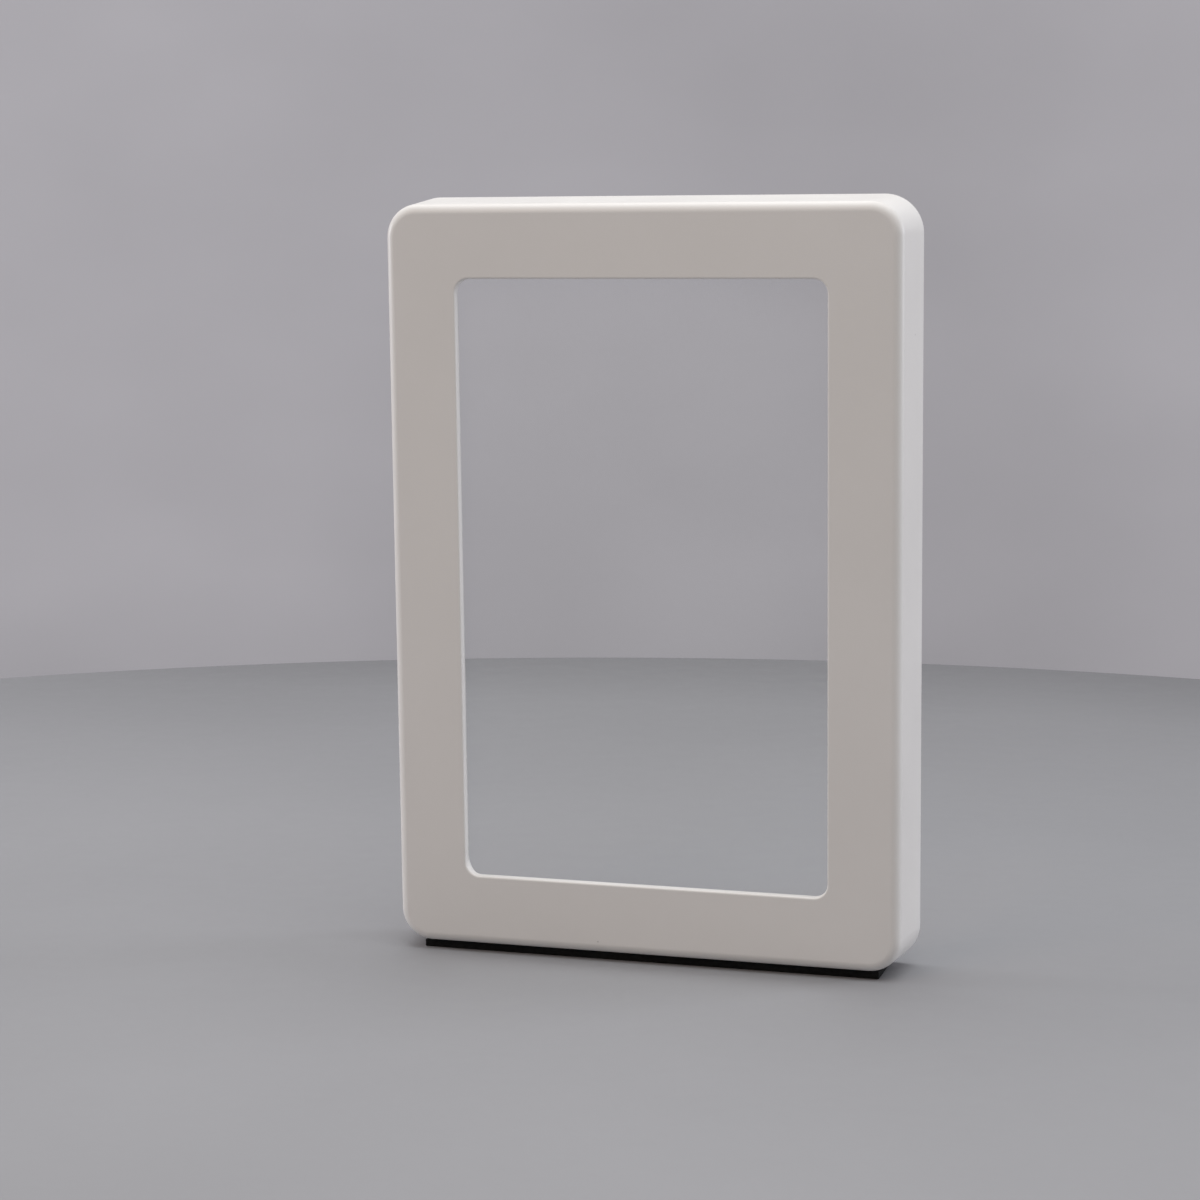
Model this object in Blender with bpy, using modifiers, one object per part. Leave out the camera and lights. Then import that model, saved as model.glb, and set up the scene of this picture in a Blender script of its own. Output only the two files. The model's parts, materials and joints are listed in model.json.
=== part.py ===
"""See-through digital photo frame: a hollow border ring round a clear display.

Lengths are millimetres in the tables below and become metres when a mesh is made.
x runs to the viewer's right, z up, and "depth" runs back from the front face.
The foot strip stands on z = 0 and the frame's mid depth is y = 0.
"""
import bmesh
import bpy
from math import cos, pi, radians, sin
from mathutils import Vector

MM = 0.001

# Window and face
WINDOW_W = 106.0
WINDOW_H = 170.4
WINDOW_R = 4.0
SIDE_BORDER = 20.3
TOP_BORDER = 20.5
LOW_BORDER = 20.1
FACE_R = 9.0          # corner radius of the face, before its edge is rounded
EDGE_R = 2.6          # rounding of the front edge
DEPTH = 21.5
DRAFT = 1.8           # each side grows by this much from the face to the rear rim

# Shell
WALL = 2.4
RIM_DEPTH = 3.3       # thickness of the window's own edge
RIM_W = 1.4
GAP = 0.3             # clearance between pieces that touch

# Stack behind the window, as depths
GASKET = (RIM_DEPTH + GAP, RIM_DEPTH + GAP + 0.5)
PANEL = (GASKET[1] + GAP, GASKET[1] + GAP + 1.8)
RETAINER = (PANEL[1] + GAP, PANEL[1] + GAP + 1.5)
PANEL_MARGIN = 4.3    # how far the display reaches behind the border
RETAINER_MARGIN = 2.5

# Rear cover
COVER = (18.7, 20.7)
REAR_MARGIN = 6.2     # the rear opening is larger than the window by this much a side
SKIRT_W = 1.6
SKIRT_START = RETAINER[1] + GAP
COVER_FIT = 0.4
REAR_R = 7.0

# Foot
FOOT_PROUD = 0.9
FOOT_HALF = 67.0
FOOT_DEPTH = (3.0, 19.0)

# Wire stand
BAIL_R = 1.3
BAIL_DEPTH = 18.6
BAIL_X = 68.6
BAIL_LOW = 7.4
HINGE_Z = 112.0
HINGE_BEND = 2.2
HINGE_X = 64.3
HINGE_HALF = 2.0
HINGE_SCREW_Z = HINGE_Z + 5.6
GROOVE_HALF = 1.9
GROOVE_WALL = 0.8
GROOVE_FLOOR = 1.2    # thickness of the cover under the wire
POCKET_WALL = 0.7
POCKET_FIT = 0.6
HINGE_DEPTH = 21.0
HINGE_ABOVE = 8.6     # how far a hinge block reaches above and below its pivot
HINGE_BELOW = 3.2
FOOT_BEND = 6.2
PIVOT_END = 61.9
PAD_R = 2.2
PAD_X = 44.0
PAD_HALF = 8.0
STAND_ARC = 6         # points of the wire's path from a pivot's end to the top of an arm
NOTCH_HALF = 10.0     # finger notch beside the wire's crossbar
NOTCH_H = 5.2

# Keys
KEY_X = -66.3
KEY_NAMES = ("power", "menu", "previous", "next", "enter")
KEY_LOW = 150.0
KEY_PITCH = 11.0
KEY_HOLE_R = 3.7

FACE_W = WINDOW_W + 2 * SIDE_BORDER
FACE_H = WINDOW_H + TOP_BORDER + LOW_BORDER
CENTRE_Z = FOOT_PROUD + DRAFT + FACE_H / 2
WINDOW_Z = FOOT_PROUD + DRAFT + LOW_BORDER + WINDOW_H / 2
LOW_BOARD = (5.4, 13.8)
BOARD_DEPTH = (9.2, 10.4)
KEY_BOARD_DEPTH = (11.0, 12.2)
USB_Z = 47.0
USB_DEPTH = 12.3
SPEAKER_X = 36.0
SPEAKER_Z = 206.8
SOUND_SLOTS = 7
SOUND_PITCH = 3.6
VENTS = 9
VENT_LOW = 144.0
VENT_PITCH = 6.0

# Screws
HEAD_H = 1.2
POST_R = 2.1          # the posts that hold them, with their bores
POST_BORE_R = 0.95
POST_ROOT = WALL - 0.4
SCREW_HOLE_R = 1.15   # the holes in what they fasten
COVER_HOLE_R = 1.4
HEAD_SEAT_R = 2.4
HEAD_SEAT = 0.9

# Screw places as (x, z)
COVER_SCREWS = [(s * x, z) for x, z in ((63.5, 30.0), (63.5, 127.0), (65.8, 206.4)) for s in (-1, 1)]
RETAINER_SCREWS = [(s * x, z) for x, z in ((64.5, 68.2), (64.5, 154.0)) for s in (-1, 1)]
BOARD_SCREWS = [(-59.5, 9.6), (59.5, 9.6)]
KEY_SCREWS = [(KEY_X, 143.0), (KEY_X, 200.5)]
INLET_SCREWS = [(-66.0, 58.6)]


def point(x, depth, z):
    """World position in metres of a place given as x, depth behind the face, and z."""
    return Vector((x, depth - DEPTH / 2, z)) * MM


def clear_scene():
    for obj in list(bpy.data.objects):
        bpy.data.objects.remove(obj, do_unlink=True)


def make_collection(name):
    collection = bpy.data.collections.new(name)
    bpy.context.scene.collection.children.link(collection)
    return collection


def make_material(name, colour, roughness, metallic=0.0, transmission=0.0):
    material = bpy.data.materials.new(name)
    material.use_nodes = True
    shader = material.node_tree.nodes["Principled BSDF"]
    shader.inputs["Base Color"].default_value = (*colour, 1.0)
    shader.inputs["Roughness"].default_value = roughness
    shader.inputs["Metallic"].default_value = metallic
    shader.inputs["Transmission Weight"].default_value = transmission
    return material


clear_scene()
PARTS = make_collection("digital_photo_frame")
CUTTERS = make_collection("cutters")
MATERIALS = {
    "housing": make_material("housing", (0.80, 0.79, 0.77), 0.55),
    "cover": make_material("cover", (0.76, 0.76, 0.75), 0.6),
    "key": make_material("key", (0.55, 0.55, 0.56), 0.5),
    "glass": make_material("glass", (0.95, 0.97, 0.97), 0.03, transmission=1.0),
    "gasket": make_material("gasket", (0.02, 0.02, 0.02), 0.9),
    "rubber": make_material("rubber", (0.025, 0.025, 0.025), 0.85),
    "retainer": make_material("retainer", (0.6, 0.61, 0.62), 0.4, metallic=1.0),
    "steel": make_material("steel", (0.62, 0.62, 0.63), 0.3, metallic=1.0),
    "board": make_material("board", (0.02, 0.13, 0.07), 0.45),
    "chip": make_material("chip", (0.03, 0.03, 0.035), 0.5),
    "shield": make_material("shield", (0.7, 0.7, 0.68), 0.35, metallic=1.0),
    "connector": make_material("connector", (0.75, 0.73, 0.66), 0.5),
    "flex": make_material("flex", (0.35, 0.16, 0.04), 0.4),
    "wire": make_material("wire", (0.03, 0.03, 0.03), 0.6),
}


def add_object(name, data, slot):
    """Put new data in the model as a part, or as a hidden cutter where slot is None."""
    obj = bpy.data.objects.new(name, data)
    if slot is None:
        CUTTERS.objects.link(obj)
        obj.hide_render = True
        obj.display_type = "WIRE"
    else:
        PARTS.objects.link(obj)
        data.materials.append(MATERIALS[slot])
    return obj


def mesh_from(bm, name):
    mesh = bpy.data.meshes.new(name)
    bm.to_mesh(mesh)
    bm.free()
    return mesh


def rounded_rectangle(half_x, half_z, radius, steps, centre):
    """Points of a rounded rectangle about a height on the frame's middle, as (x, z)."""
    corners = ((1, 1, 0), (-1, 1, 90), (-1, -1, 180), (1, -1, 270))
    points = []
    for sx, sz, start in corners:
        for i in range(steps + 1):
            angle = radians(start + 90 * i / steps)
            x = sx * (half_x - radius) + radius * cos(angle)
            z = sz * (half_z - radius) + radius * sin(angle)
            points.append((x, centre + z))
    return points


def loft(name, sections, slot, steps=6, centre=CENTRE_Z):
    """A solid through rounded rectangles, each (depth, half_x, half_z, radius)."""
    bm = bmesh.new()
    loops = []
    for depth, half_x, half_z, radius in sections:
        outline = rounded_rectangle(half_x, half_z, radius, steps, centre)
        loops.append([bm.verts.new(point(x, depth, z)) for x, z in outline])
    count = len(loops[0])
    for near, far in zip(loops, loops[1:]):
        for i in range(count):
            j = (i + 1) % count
            bm.faces.new((near[i], near[j], far[j], far[i]))
    bm.faces.new(loops[0])
    bm.faces.new(loops[-1])
    bmesh.ops.recalc_face_normals(bm, faces=bm.faces)
    return add_object(name, mesh_from(bm, name), slot)


def slab(name, margin, depths, radius, slot, steps=6):
    """A flat plate that is larger than the window by margin on every side."""
    half_x = WINDOW_W / 2 + margin
    half_z = WINDOW_H / 2 + margin
    return loft(name, [(d, half_x, half_z, radius) for d in depths], slot, steps, WINDOW_Z)


def block(name, x, depth, z, slot, bevel=0.0):
    """A box from pairs of limits in x, depth and z."""
    bm = bmesh.new()
    bmesh.ops.create_cube(bm, size=1.0)
    size = Vector((x[1] - x[0], depth[1] - depth[0], z[1] - z[0])) * MM
    bmesh.ops.scale(bm, vec=size, verts=bm.verts)
    obj = add_object(name, mesh_from(bm, name), slot)
    obj.location = (point(x[0], depth[0], z[0]) + point(x[1], depth[1], z[1])) / 2
    if bevel:
        rounding = obj.modifiers.new("rounding", "BEVEL")
        rounding.width = bevel * MM
        rounding.segments = 1
    return obj


def cylinders(name, places, radius, depths, slot=None, sides=14):
    """Round posts or holes that run along the depth, all in one object."""
    bm = bmesh.new()
    for x, z in places:
        made = bmesh.ops.create_cone(
            bm, cap_ends=True, segments=sides, radius1=radius * MM, radius2=radius * MM,
            depth=(depths[1] - depths[0]) * MM)
        for vert in made["verts"]:
            centre = point(x, (depths[0] + depths[1]) / 2, z)
            vert.co = Vector((vert.co.x, -vert.co.z, vert.co.y)) + centre
    return add_object(name, mesh_from(bm, name), slot)


def ribbon(name, path, half_width, depths, slot=None):
    """A band of constant width along an (x, z) path, between two depths."""
    bm = bmesh.new()
    sections = []
    for i, place in enumerate(path):
        ahead = (path[min(i + 1, len(path) - 1)] - path[max(i - 1, 0)]).normalized()
        aside = Vector((ahead.y, -ahead.x)) * half_width
        corners = ((place + aside, depths[0]), (place - aside, depths[0]),
                   (place - aside, depths[1]), (place + aside, depths[1]))
        sections.append([bm.verts.new(point(spot.x, depth, spot.y)) for spot, depth in corners])
    for near, far in zip(sections, sections[1:]):
        for i in range(4):
            j = (i + 1) % 4
            bm.faces.new((near[i], near[j], far[j], far[i]))
    bm.faces.new(sections[0])
    bm.faces.new(sections[-1])
    bmesh.ops.recalc_face_normals(bm, faces=bm.faces)
    return add_object(name, mesh_from(bm, name), slot)


def boolean(obj, other, operation):
    step = obj.modifiers.new(other.name, "BOOLEAN")
    step.operation = operation
    step.solver = "EXACT"
    step.object = other


def cut(obj, other):
    boolean(obj, other, "DIFFERENCE")


def join(obj, other):
    boolean(obj, other, "UNION")


def turned(name, profile, location, slot, rotation=(-pi / 2, 0, 0), steps=10, ring=False):
    """A turned piece from (radius, height) points that run from its top down its side.

    Its own axis is z, which the default rotation turns to face the rear.
    """
    bm = bmesh.new()
    verts = [bm.verts.new((r * MM, 0, h * MM)) for r, h in profile]
    for first, second in zip(verts, verts[1:]):
        bm.edges.new((first, second))
    if ring:
        bm.edges.new((verts[-1], verts[0]))
    mesh = bpy.data.meshes.new(name)
    bm.to_mesh(mesh)
    bm.free()
    obj = add_object(name, mesh, slot)
    turn = obj.modifiers.new("turn", "SCREW")
    turn.steps = steps
    turn.render_steps = steps
    turn.use_merge_vertices = True
    turn.merge_threshold = 0.00001
    obj.location = point(*location)
    obj.rotation_euler = rotation
    return obj


def screw(name, x, z, head_from, length, head_r=1.9, shank_r=0.75):
    """A pan-head screw driven in from the rear; head_from is the depth under its head."""
    profile = [(0, HEAD_H), (head_r * 0.7, HEAD_H - 0.1), (head_r, HEAD_H / 2), (head_r, 0),
               (shank_r, 0), (shank_r, -length), (0, -length)]
    return turned(name, profile, (x, head_from, z), "steel", steps=8)


def bend(points, radii, steps=5):
    """Round the inner corners of an (x, z) path with arcs of the given radii."""
    path = [Vector(points[0])]
    for before, corner, after, radius in zip(points, points[1:], points[2:], radii):
        corner = Vector(corner)
        way_in = (Vector(before) - corner).normalized()
        way_out = (Vector(after) - corner).normalized()
        centre = corner + (way_in + way_out) * radius
        for i in range(steps + 1):
            angle = (pi / 2) * i / steps
            path.append(centre - way_out * radius * cos(angle) - way_in * radius * sin(angle))
    path.append(Vector(points[-1]))
    return path


def smooth(points, per_span=3):
    """A smooth route through hand-placed points."""
    points = [Vector(p) for p in points]
    padded = [points[0] * 2 - points[1]] + points + [points[-1] * 2 - points[-2]]
    route = []
    for a, b, c, d in zip(padded, padded[1:], padded[2:], padded[3:]):
        for i in range(per_span):
            t = i / per_span
            route.append(0.5 * (2 * b + (c - a) * t + (2 * a - 5 * b + 4 * c - d) * t ** 2
                                + (3 * b - a - 3 * c + d) * t ** 3))
    route.append(points[-1])
    return route


def tube(name, points, radius, slot, origin=Vector((0, 0, 0))):
    """A round wire along points in metres, measured from origin."""
    curve = bpy.data.curves.new(name, "CURVE")
    curve.dimensions = "3D"
    curve.bevel_depth = radius * MM
    curve.bevel_resolution = 2
    curve.use_fill_caps = True
    spline = curve.splines.new("POLY")
    spline.points.add(len(points) - 1)
    for target, place in zip(spline.points, points):
        target.co = (*(place - origin), 1.0)
    obj = add_object(name, curve, slot)
    obj.location = origin
    return obj


def wire(name, route, diameter):
    return tube(name, [point(*p) for p in smooth(route)], diameter / 2, "wire")


def grown(depth, inset):
    """Half sizes and corner radius of the drafted body at a depth, less an inset."""
    growth = DRAFT * depth / DEPTH - inset
    return (depth, FACE_W / 2 + growth, FACE_H / 2 + growth, FACE_R + growth)


def make_bezel():
    """The white front shell: face, window rim, side walls and screw bosses."""
    edge = []
    for i in range(5):
        angle = (pi / 2) * i / 4
        depth = EDGE_R * (1 - cos(angle))
        edge.append(grown(depth, EDGE_R * (1 - sin(angle))))
    bezel = loft("front_bezel", edge + [grown(DEPTH, 0)], "housing", steps=8)
    cut(bezel, loft("bezel_cavity", [grown(WALL, WALL), grown(DEPTH + 1, WALL)], None, steps=8))
    join(bezel, slab("window_rim", RIM_W, (POST_ROOT, RIM_DEPTH), WINDOW_R + RIM_W, None))
    posts = (("cover", COVER_SCREWS, COVER[0] - GAP), ("retainer", RETAINER_SCREWS, RETAINER[0] - GAP),
             ("board", BOARD_SCREWS, BOARD_DEPTH[0] - GAP),
             ("key_board", KEY_SCREWS, KEY_BOARD_DEPTH[0] - GAP),
             ("inlet", INLET_SCREWS, BOARD_DEPTH[0] - GAP))
    for name, places, end in posts:
        join(bezel, cylinders(name + "_posts", places, POST_R, (POST_ROOT, end)))
        cut(bezel, cylinders(name + "_bores", places, POST_BORE_R, (WALL + 0.8, end + 1), sides=10))
    cut(bezel, slab("window_cut", 0, (-1, RIM_DEPTH + 1), WINDOW_R, None))
    side = FACE_W / 2
    cut(bezel, block("usb_port", (-side - 5, -side + 6), (USB_DEPTH - 2, USB_DEPTH + 2),
                     (USB_Z - 5, USB_Z + 5), None, bevel=1.2))


def make_display():
    """Gasket, clear display, its retainer and the flexible connector to the main board."""
    gasket = slab("panel_gasket", PANEL_MARGIN - 0.3, GASKET, 2.0, "gasket", steps=3)
    cut(gasket, slab("gasket_cut", 1.0, (0, 10), WINDOW_R, None))
    slab("display_panel", PANEL_MARGIN, PANEL, 1.0, "glass", steps=3)

    retainer = slab("panel_retainer", 7.3, RETAINER, 4.0, "retainer", steps=3)
    cut(retainer, slab("retainer_cut", RETAINER_MARGIN, (0, 20), WINDOW_R, None))
    for i, (x, z) in enumerate(RETAINER_SCREWS):
        side = -1 if x < 0 else 1
        reach = sorted((side * (WINDOW_W / 2 + 6), x + side * 2.6))
        join(retainer, block(f"lug_{i}", reach, RETAINER, (z - 3, z + 3), None))
    cut(retainer, cylinders("retainer_holes", RETAINER_SCREWS, SCREW_HOLE_R, (0, 20), sides=10))
    for i, (x, z) in enumerate(RETAINER_SCREWS):
        screw(f"retainer_screw_{i + 1}", x, z, RETAINER[1] + GAP, 5.0)

    flex_half = 16.0
    section = [(5.3, 17.6), (5.3, 15.8), (5.7, 14.8), (6.6, 14.3), (11.0, 14.3), (11.9, 13.9),
               (12.3, 13.0), (12.3, 10.4)]
    bm = bmesh.new()
    rows = [[bm.verts.new(point(x, d, z)) for x in (-flex_half, flex_half)] for d, z in section]
    for upper, lower in zip(rows, rows[1:]):
        bm.faces.new((upper[0], upper[1], lower[1], lower[0]))
    flex = add_object("panel_flex", mesh_from(bm, "panel_flex"), "flex")
    thickness = flex.modifiers.new("thickness", "SOLIDIFY")
    thickness.thickness = 0.2 * MM
    thickness.offset = 0.0
    block("panel_driver_chip", (-11, 11), (12.7, 13.3), (11.2, 12.8), "chip")


def make_main_board():
    """The long, narrow board in the bottom of the ring, and what is soldered to it."""
    board = block("main_board", (-62, 62), BOARD_DEPTH, LOW_BOARD, "board")
    cut(board, cylinders("board_holes", BOARD_SCREWS, SCREW_HOLE_R, (0, 20), sides=10))
    for i, (x, z) in enumerate(BOARD_SCREWS):
        screw(f"board_screw_{i + 1}", x, z, BOARD_DEPTH[1] + GAP, 5.0)
    top = BOARD_DEPTH[1] + GAP
    block("processor", (-38, -30), (top, top + 1.3), (5.7, 13.5), "chip", bevel=0.15)
    block("memory_chip", (-27.5, -20), (top, top + 1.0), (6.0, 13.2), "chip", bevel=0.15)
    block("wifi_module", (20, 33), (top, top + 2.0), (5.8, 13.4), "shield", bevel=0.3)
    block("power_inductor", (-50, -44), (top, top + 3.4), (6.6, 12.6), "chip", bevel=0.8)
    block("flex_connector", (-17, 17), (top, top + 1.2), (9.4, 12.2), "connector", bevel=0.2)
    block("key_plug", (-56.5, -52.5), (top, top + 2.8), (6.4, 12.8), "connector", bevel=0.3)
    block("speaker_plug", (49, 53), (top, top + 2.8), (6.4, 12.8), "connector", bevel=0.3)
    can = [(0, 3.8), (1.7, 3.8), (2.1, 3.4), (2.1, 0), (0, 0)]
    turned("capacitor", can, (40.0, top, 9.6), "shield")


def make_inlet():
    """Power and data inlet on its own small board in the left border."""
    board = block("inlet_board", (-70.4, -61.8), BOARD_DEPTH, (38.0, 61.0), "board")
    cut(board, cylinders("inlet_holes", INLET_SCREWS, SCREW_HOLE_R, (0, 20), sides=10))
    screw("inlet_screw", *INLET_SCREWS[0], BOARD_DEPTH[1] + GAP, 5.0)
    socket = block("usb_socket", (-73.8, -66.4), (USB_DEPTH - 1.6, USB_DEPTH + 1.6),
                   (USB_Z - 4.5, USB_Z + 4.5), "steel", bevel=1.0)
    cut(socket, block("usb_mouth", (-76, -68.2), (USB_DEPTH - 1.25, USB_DEPTH + 1.25),
                      (USB_Z - 4.15, USB_Z + 4.15), None, bevel=0.9))
    join(socket, block("usb_tongue", (-73.0, -67.5), (USB_DEPTH - 0.35, USB_DEPTH + 0.35),
                       (USB_Z - 3.3, USB_Z + 3.3), None))


def make_keys():
    """Five push keys on the rear of the left border, over tactile switches."""
    board = block("key_board", (-70.2, -62.4), KEY_BOARD_DEPTH, (140.8, 203.0), "board")
    cut(board, cylinders("key_board_holes", KEY_SCREWS, SCREW_HOLE_R, (0, 20), sides=10))
    for i, (x, z) in enumerate(KEY_SCREWS):
        screw(f"key_board_screw_{i + 1}", x, z, KEY_BOARD_DEPTH[1] + GAP, 5.0)
    top = KEY_BOARD_DEPTH[1] + GAP
    cap = [(0, 2.55), (2.6, 2.6), (3.3, 2.1), (3.3, 0), (4.0, 0), (4.0, -0.9),
           (1.6, -0.9), (1.6, -1.7), (0, -1.7)]
    for i, name in enumerate(KEY_NAMES):
        z = KEY_LOW + i * KEY_PITCH
        switch = block(f"{name}_switch", (KEY_X - 3, KEY_X + 3), (top, top + 3.0),
                       (z - 3, z + 3), "chip")
        plunger = cylinders(f"{name}_plunger", [(KEY_X, z)], 1.6, (top + 2.5, top + 3.7), sides=10)
        join(switch, plunger)
        turned(f"{name}_key", cap, (KEY_X, COVER[0] - 0.1, z), "key", steps=14)


def make_sound_and_radio():
    """Two slim speakers in the top of the ring and the aerial strip in the right border."""
    for side, sign in (("left", -1), ("right", 1)):
        x = sign * SPEAKER_X
        block(f"{side}_speaker", (x - 14, x + 14), (13.6, 18.2), (SPEAKER_Z - 4.5, SPEAKER_Z + 4.5),
              "chip", bevel=0.6)
    block("wifi_aerial", (62.4, 69.0), (13.0, 13.6), (168.0, 198.0), "flex")


def make_wiring():
    """Wires that run round the inside of the ring, as (x, depth, z) along each."""
    wire("key_cable", [(-64.2, 13.8, 141.5), (-64.6, 13.6, 136.5), (-69.3, 12.8, 127),
                       (-69.3, 12.6, 90), (-64.6, 14.4, 60), (-63.2, 14.6, 46), (-66.5, 13.9, 36),
                       (-68.4, 12.8, 28), (-66.4, 12.4, 17), (-61.5, 13.6, 11.2),
                       (-57.2, 13.2, 9.8)], 1.6)
    wire("inlet_cable", [(-64.0, 11.4, 41.6), (-63.0, 11.7, 38.0), (-67.4, 9.4, 30), (-67.6, 9.2, 22),
                         (-65.6, 11.0, 15.8), (-61.2, 11.9, 14.0), (-57.2, 11.6, 12.4)], 1.2)
    wire("left_speaker_cable", [(-50.4, 15.6, 206.8), (-55, 15.0, 208.6), (-60.5, 12, 210.2),
                                (-68.0, 9.6, 208.6), (-70.4, 8.9, 202), (-70.4, 8.9, 150),
                                (-70.4, 8.2, 92), (-70.2, 7.6, 66), (-70.0, 7.5, 45),
                                (-69.8, 7.4, 24), (-67.2, 7.4, 13), (-61, 7.6, 7.4),
                                (-54, 7.6, 7.0), (-30, 7.4, 7.0), (0, 7.4, 7.0)], 1.0)
    wire("right_speaker_cable", [(50.4, 15.6, 206.8), (55, 15.0, 208.6), (60.5, 12, 210.2),
                                 (68.0, 9.6, 208.6), (70.3, 8.9, 202), (70.3, 8.9, 150),
                                 (70.3, 8.9, 60), (70.0, 9.4, 24), (67.8, 11.4, 13.4),
                                 (62.4, 14.0, 8.6), (53.7, 12.6, 8.4)], 1.0)
    wire("aerial_cable", [(65.6, 14.5, 170), (66.6, 14.6, 163), (67.6, 13.0, 150), (67.8, 12.4, 100),
                          (67.8, 12.4, 40), (67.6, 12.6, 22), (64.2, 13.9, 13.6),
                          (56, 14.2, 12.2), (44, 15.0, 12.6), (35, 13.6, 11.8)], 0.9)


def make_rear_cover():
    """The ring that closes the back: a plate, a skirt round the opening and the stand's channel."""
    def plate(depth):
        _, half_x, half_z, radius = grown(COVER[0], WALL + COVER_FIT)
        return (depth, half_x, half_z, radius)

    cover = loft("rear_cover", [plate(COVER[0]), plate(COVER[1])], "cover", steps=8)
    skirt_margin = REAR_MARGIN + SKIRT_W
    join(cover, slab("skirt", skirt_margin, (SKIRT_START, COVER[0] + 0.5), REAR_R + SKIRT_W, None))
    floor = BAIL_DEPTH - PAD_R - GAP
    channel = (floor - GROOVE_FLOOR, COVER[0] + 0.5)
    groove = (floor, DEPTH + 1)
    path = stand_path()[STAND_ARC:-STAND_ARC]
    hollows = []
    for side, sign in (("left", -1), ("right", 1)):
        hinge = sorted((sign * (PIVOT_END - 0.4), sign * (BAIL_X + GROOVE_HALF)))
        hollows.append((f"{side}_hinge_pocket", hinge,
                        (HINGE_Z - HINGE_BELOW - 1.2, HINGE_Z + HINGE_ABOVE + POCKET_FIT)))
        pad = (sign * PAD_X - PAD_HALF - POCKET_FIT, sign * PAD_X + PAD_HALF + POCKET_FIT)
        hollows.append((f"{side}_pad_pocket", pad, (BAIL_LOW - PAD_R - GAP, BAIL_LOW + PAD_R + GAP)))
    join(cover, ribbon("channel", path, GROOVE_HALF + GROOVE_WALL, channel))
    for name, x, z in hollows:
        join(cover, block(name + "_wall", (x[0] - POCKET_WALL, x[1] + POCKET_WALL), channel,
                          (z[0] - POCKET_WALL, z[1] + POCKET_WALL), None))
    cut(cover, slab("rear_opening", REAR_MARGIN, (0, DEPTH + 2), REAR_R, None))
    cut(cover, ribbon("groove", path, GROOVE_HALF, groove))
    for name, x, z in hollows:
        cut(cover, block(name, x, groove, z, None))
    cut(cover, block("finger_notch", (-NOTCH_HALF, NOTCH_HALF), (COVER[0] + 0.6, DEPTH + 1),
                     (BAIL_LOW, BAIL_LOW + NOTCH_H), None, bevel=1.0))
    through = (COVER[0] - 1, DEPTH)
    for side, sign in (("left", -1), ("right", 1)):
        for i in range(SOUND_SLOTS):
            x = sign * SPEAKER_X + SOUND_PITCH * (i - (SOUND_SLOTS - 1) / 2)
            cut(cover, block(f"{side}_sound_slot_{i}", (x - 0.7, x + 0.7), through,
                             (SPEAKER_Z - 2.6, SPEAKER_Z + 2.6), None))
    for i in range(VENTS):
        z = VENT_LOW + VENT_PITCH * i
        cut(cover, block(f"vent_{i}", (63.0, 69.6), through, (z - 0.8, z + 0.8), None))
    head_seat = COVER[1] - HEAD_SEAT
    cut(cover, cylinders("cover_holes", COVER_SCREWS, COVER_HOLE_R, (0, DEPTH + 1), sides=12))
    cut(cover, cylinders("cover_head_seats", COVER_SCREWS, HEAD_SEAT_R, (head_seat, DEPTH + 1)))
    hinge_screws = [(s * HINGE_X, HINGE_SCREW_Z) for s in (-1, 1)]
    cut(cover, cylinders("hinge_bores", hinge_screws, POST_BORE_R, (0, DEPTH), sides=10))
    keys = [(KEY_X, KEY_LOW + i * KEY_PITCH) for i in range(len(KEY_NAMES))]
    cut(cover, cylinders("key_holes", keys, KEY_HOLE_R, (0, DEPTH + 1), sides=20))
    for i, (x, z) in enumerate(COVER_SCREWS):
        screw(f"cover_screw_{i + 1}", x, z, head_seat + GAP, 9.0)

    for side, sign in (("left", -1), ("right", 1)):
        x = sign * HINGE_X
        hinge = block(f"{side}_hinge_block", (x - HINGE_HALF, x + HINGE_HALF),
                      (floor + GAP, HINGE_DEPTH), (HINGE_Z - HINGE_BELOW, HINGE_Z + HINGE_ABOVE),
                      "cover", bevel=0.3)
        bore = [(BAIL_R + GAP, 5), (BAIL_R + GAP, -5), (0, -5)]
        cut(hinge, turned(f"{side}_pivot_bore", [(0, 5)] + bore, (x, BAIL_DEPTH, HINGE_Z), None,
                          rotation=(0, pi / 2, 0), steps=14))
        cut(hinge, cylinders(f"{side}_hinge_hole", [(x, HINGE_SCREW_Z)], 1.05, (0, 25), sides=10))
        seat = HINGE_DEPTH - HEAD_H - 0.1
        screw(f"{side}_hinge_screw", x, HINGE_SCREW_Z, seat + GAP, 4.4, head_r=1.5)
        cut(hinge, cylinders(f"{side}_head_seat", [(x, HINGE_SCREW_Z)], 1.8, (seat, 25)))


def stand_path():
    """The wire's centre line as (x, z): both pivots turn inwards at the top of the arms."""
    corners = [(-PIVOT_END, HINGE_Z), (-BAIL_X, HINGE_Z), (-BAIL_X, BAIL_LOW),
               (BAIL_X, BAIL_LOW), (BAIL_X, HINGE_Z), (PIVOT_END, HINGE_Z)]
    return bend(corners, (HINGE_BEND, FOOT_BEND, FOOT_BEND, HINGE_BEND))


def make_stand():
    """The bent wire that swings out of the rear cover, with a rubber pad near each end."""
    origin = point(0, BAIL_DEPTH, HINGE_Z)
    path = [point(x, BAIL_DEPTH, z) for x, z in stand_path()]
    tube("wire_stand", path, BAIL_R, "steel", origin)
    inner = BAIL_R + GAP
    pad = [(PAD_R, PAD_HALF), (PAD_R, -PAD_HALF), (inner, -PAD_HALF), (inner, PAD_HALF)]
    for side, sign in (("left", -1), ("right", 1)):
        turned(f"{side}_stand_pad", pad, (sign * PAD_X, BAIL_DEPTH, BAIL_LOW), "rubber",
               rotation=(0, pi / 2, 0), steps=14, ring=True)


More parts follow.
